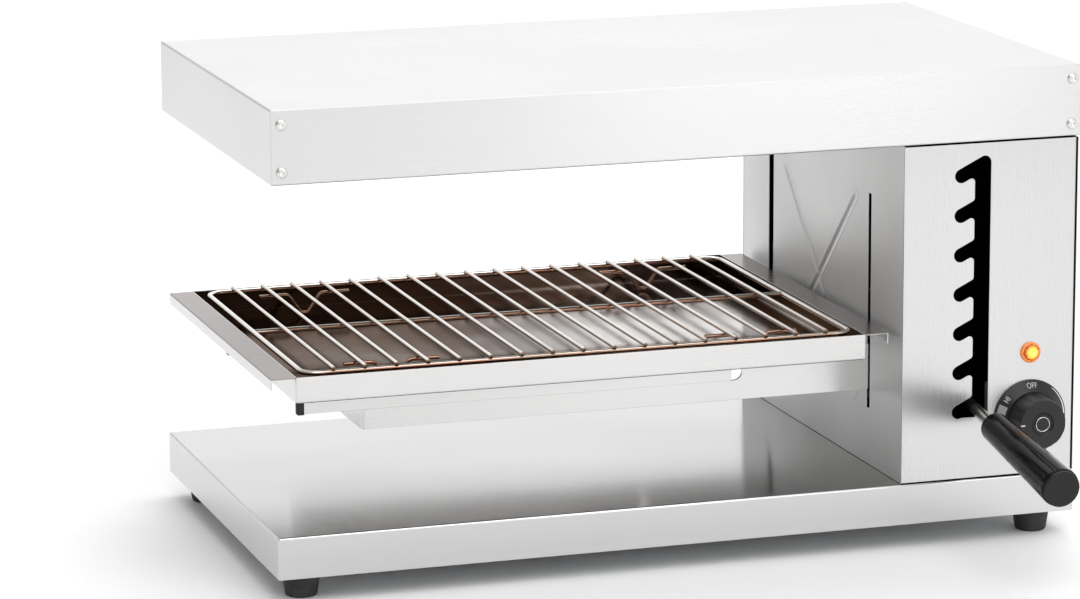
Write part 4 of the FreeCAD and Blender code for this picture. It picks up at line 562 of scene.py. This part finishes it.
def dial_word(word, turn):
    """A word set upright on the ring. Its letters' width runs round the ring and their height outward."""
    text = bpy.data.curves.new(word, "FONT")
    text.body = word
    text.size, text.space_character = LETTER, LETTER_GAP
    text.align_x = text.align_y = "CENTER"
    text.extrude, text.offset = FILM / 2, -FILM
    flat = new_object("flat_" + word, text)
    bpy.context.view_layer.update()
    mesh = bpy.data.meshes.new_from_object(flat.evaluated_get(bpy.context.evaluated_depsgraph_get()))
    bpy.data.objects.remove(flat)
    spots = np.empty(len(mesh.vertices) * 3, np.float32)
    mesh.vertices.foreach_get("co", spots)
    across, out, lift = spots.reshape(-1, 3).T.astype(float)
    middle = (DIAL_RIM + DIAL_TOP) / 2
    placed = on_dial(middle + out, math.radians(turn) + across * NARROW / middle, FILM + lift)
    mesh.vertices.foreach_set("co", placed.astype(np.float32).ravel())
    mesh.materials.clear()
    mesh.materials.append(print_white)
    piece = new_object("dial_print_" + word.lower(), mesh)
    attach(piece, "root")


dial_word("OFF", 0)
dial_word("HI", -52)


def dial_band(name, start, end, widths, material):
    """A band round the ring from one angle to another, whose width grows from its outer edge inward."""
    turns = np.radians(np.linspace(start, end, BAND_STEPS))
    outer = np.full(BAND_STEPS, DIAL_RIM - BAND_INSET)
    inner = outer - np.linspace(*widths, BAND_STEPS)
    loop = [on_dial(outer, turns, 0.0), on_dial(outer, turns, FILM), on_dial(inner, turns, FILM),
            on_dial(inner, turns, 0.0)]
    skin(name, np.stack(loop, 1), material, "root")


dial_band("dial_band_thin", 38, 250, (0.0004, 0.0042), print_white)
# The grey wide end is partly print and partly a painted sheen.
dial_band("dial_band_wide_and_sheen", 250, 296, (0.0046, 0.0052), grey_print_and_sheen)

# A short white stroke lies at nine o'clock on the knob's front, and a thin chromed ring lies round the
# disc in its front.
knob_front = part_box("control_knob")[0].y
STROKE_START, STROKE_END, STROKE_HALF, STROKE_ROOT = 0.0140, 0.0171, 0.00045, 0.0002
stroke = np.array([[(dial_x - out, knob_front - lift, dial_z + side * STROKE_HALF)
                    for side, lift in ((-1, -STROKE_ROOT), (-1, FILM), (1, FILM), (1, -STROKE_ROOT))]
                   for out in np.linspace(STROKE_START, STROKE_END, 8)])
skin("knob_white_stroke", stroke, print_white, "knob")
RING, RING_WIRE, RING_SUNK = 0.0052, 0.00032, 0.0005
tube = np.linspace(0, 2 * np.pi, 14, endpoint=False)
turns = np.linspace(0, 2 * np.pi, 73)[:, None]
ring = np.stack([dial_x + (RING + RING_WIRE * np.cos(tube)) * np.cos(turns),
                 knob_front + RING_SUNK + RING_WIRE * np.sin(tube) + 0 * turns,
                 dial_z + (RING + RING_WIRE * np.cos(tube)) * np.sin(turns)], -1)
skin("knob_ring", ring, screw_steel, "knob", 60)

# The pilot lamp: a bezel of clear orange plastic round a domed amber lens. A neon lamp behind the lens
# makes it brightest a little off its middle. The bezel's glow is painted light, and the dark gap between
# the two is painted shade.
lens_low, lens_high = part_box("pilot_lamp_lens")
lamp_z = (lens_low.z + lens_high.z) / 2
LENS, BEZEL = 0.0055, 0.0077
DOME_FOOT, DOME_RISE, DOME_TURN = 0.006, 0.0017, 1.45


def glowing(name, reach, glow_x, stops, strength):
    """Clear plastic whose colour and glow follow the distance from a point near the lamp's axis."""
    material, tree, surface, place = new_finish(name)
    centred = add_node(tree, "Mapping", {"Vector": place, "Location": (-dial_x - glow_x, 0, -lamp_z),
                                         "Scale": (1, 0, 1)})
    away = add_node(tree, "VectorMath", {0: centred.outputs[0]}, operation="LENGTH").outputs["Value"]
    # Soft specks of painted sparkle.
    sparkle_flecks = noise_at(tree, place, (520.0,) * 3, 2.0)
    away = add_up(tree, spread(tree, away, 0, 1, 0.0, reach), spread(tree, sparkle_flecks, -0.07, 0.07))
    ramp = add_node(tree, "ValToRGB", {0: away})
    rings = ramp.color_ramp.elements
    rings[0].color, rings[1].color = (*stops[0][1], 1), (*stops[-1][1], 1)
    for position, colour in stops[1:-1]:
        rings.new(position).color = (*colour, 1)
    for socket in ("Base Color", "Emission Color"):
        tree.links.new(ramp.outputs[0], surface.inputs[socket])
    surface.inputs["Emission Strength"].default_value = strength
    surface.inputs["Roughness"].default_value = 0.15
    return material


lens_glow = glowing("lamp lens", LENS, 0.0006, ((0, (1.0, 0.74, 0.16)), (0.35, (1.0, 0.58, 0.09)),
                                               (0.75, (0.95, 0.36, 0.035)), (1, (0.30, 0.05, 0.006))), 0.75)
dome = [(LENS, 0.0), (LENS, DOME_FOOT)]
dome += [(LENS * math.cos(t), DOME_FOOT + DOME_RISE * math.sin(t)) for t in np.linspace(0, DOME_TURN, 14)]
rings = round_rings(dome, 60) @ facing((0, -1, 0)).T + np.array((dial_x, lens_high.y, lamp_z))
rings[..., 1] += lens_low.y - rings[..., 1].min()
lens = skin("lamp_dome", rings, lens_glow, "root")
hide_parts("pilot_lamp_lens")
# The bezel's glow is painted light, and its dark inner ring is painted shade.
dress(glowing("lamp bezel painted glow", BEZEL, 0.0, ((0, (0.25, 0.04, 0.006)), (0.74, (0.25, 0.04, 0.006)),
                                        (0.82, (0.85, 0.26, 0.05)), (1, (0.70, 0.17, 0.03))), 0.25),
      "pilot_lamp_bezel")
dress(moulded("nut plastic", (0.05, 0.05, 0.05), 0.5, 0.0006, 0.1), "pilot_lamp_nut")

# The mains side: a black nylon gland in the back panel with its nut inside, and the terminal block.
dress(moulded("gland nylon", (0.022, 0.022, 0.023), 0.42, 0.0006, 0.12), "cable_gland", "gland_nut")
dress(moulded("block nylon", (0.74, 0.72, 0.66), 0.45, 0.0008, 0.08, dust=0.05), "terminal_block")

# The picture: a pale floor, soft light from above and in front, and a long lens at the photograph's
# place.
floor_mesh = bpy.data.meshes.new("floor")
floor_mesh.from_pydata([(-9, -6, 0), (9, -6, 0), (9, 12, 0), (-9, 12, 0)], [], [(0, 1, 2, 3)])
new_object("floor", floor_mesh)
floor_finish, floor_tree, floor_surface, floor_place = new_finish("floor paint")
floor_clouds = spread(floor_tree, noise_at(floor_tree, floor_place, (1.3, 1.1, 1.0), 2.0), 0, 1)
paint = blend_colours(floor_tree, floor_clouds, (0.94, 0.94, 0.94), (0.96, 0.96, 0.96))
floor_tree.links.new(paint, floor_surface.inputs["Base Color"])
floor_surface.inputs["Roughness"].default_value = 0.7
floor_mesh.materials.append(floor_finish)

world = bpy.data.worlds.new("studio")
bpy.context.scene.world = world
world.use_nodes = True
sky = world.node_tree
sky.nodes.clear()
look = add_node(sky, "TexCoord").outputs["Generated"]
sideways, _, skywards = add_node(sky, "SeparateXYZ", {0: look}).outputs
glow = blend_colours(sky, spread(sky, skywards, 0, 1, 0.0, 0.45), (1.0, 1.0, 1.0), (0.80, 0.805, 0.81))
backdrop = add_node(sky, "Background", {0: glow, 1: spread(sky, sideways, 0.58, 1.27, -0.7, 0.15)})
add_node(sky, "OutputWorld", {0: backdrop.outputs[0]})


def softbox(name, place, target, width, height, power):
    """A rectangular studio light that faces a target."""
    light = bpy.data.lights.new(name, "AREA")
    light.shape = "RECTANGLE"
    light.size, light.size_y, light.energy = width, height, power
    lamp = new_object(name, light)
    lamp.location = place
    lamp.rotation_euler = (Vector(target) - Vector(place)).to_track_quat("-Z", "Y").to_euler()
    lamp.visible_camera = False


softbox("overhead", (0.7, 1.8, 2.6), (0.7, 1.8, 0), 2.4, 2.0, 36)
softbox("key", (-0.15, -1.6, 2.3), (0.0, -0.3, 0), 2.4, 2.0, 28)
softbox("front_strip", (0.80, -1.95, 0.60), (0.1, 0, 0.2), 0.6, 0.7, 2.1)

# The camera's focal length is in pixels of the photograph, and its place is measured from the base's
# lowest corner. Both were fitted to the photograph's straight edges.
PHOTO_WIDTH, FOCAL, SENSOR = 1080.0, 4533.0, 36.0
CAMERA_PLACE = Vector((-0.74977, -2.94312, 0.84619))
YAW, PITCH, ROLL = -0.30937, -0.21049, -0.00538
ahead = Vector((-math.sin(YAW) * math.cos(PITCH), math.cos(YAW) * math.cos(PITCH), math.sin(PITCH)))
level = Vector((math.cos(YAW), math.sin(YAW), 0.0))
upward = level.cross(ahead)
right = math.cos(ROLL) * level + math.sin(ROLL) * upward
top = -math.sin(ROLL) * level + math.cos(ROLL) * upward
camera_data = bpy.data.cameras.new("camera")
camera_data.sensor_width = SENSOR
camera_data.lens = SENSOR * FOCAL / PHOTO_WIDTH
camera = new_object("camera", camera_data)
turned = Matrix((right, top, -ahead)).transposed().to_4x4()
camera.matrix_world = Matrix.Translation(base_low + CAMERA_PLACE) @ turned
camera_data.clip_start, camera_data.clip_end = 0.1, 60.0
bpy.context.scene.camera = camera
bpy.context.scene.view_settings.view_transform = "Standard"
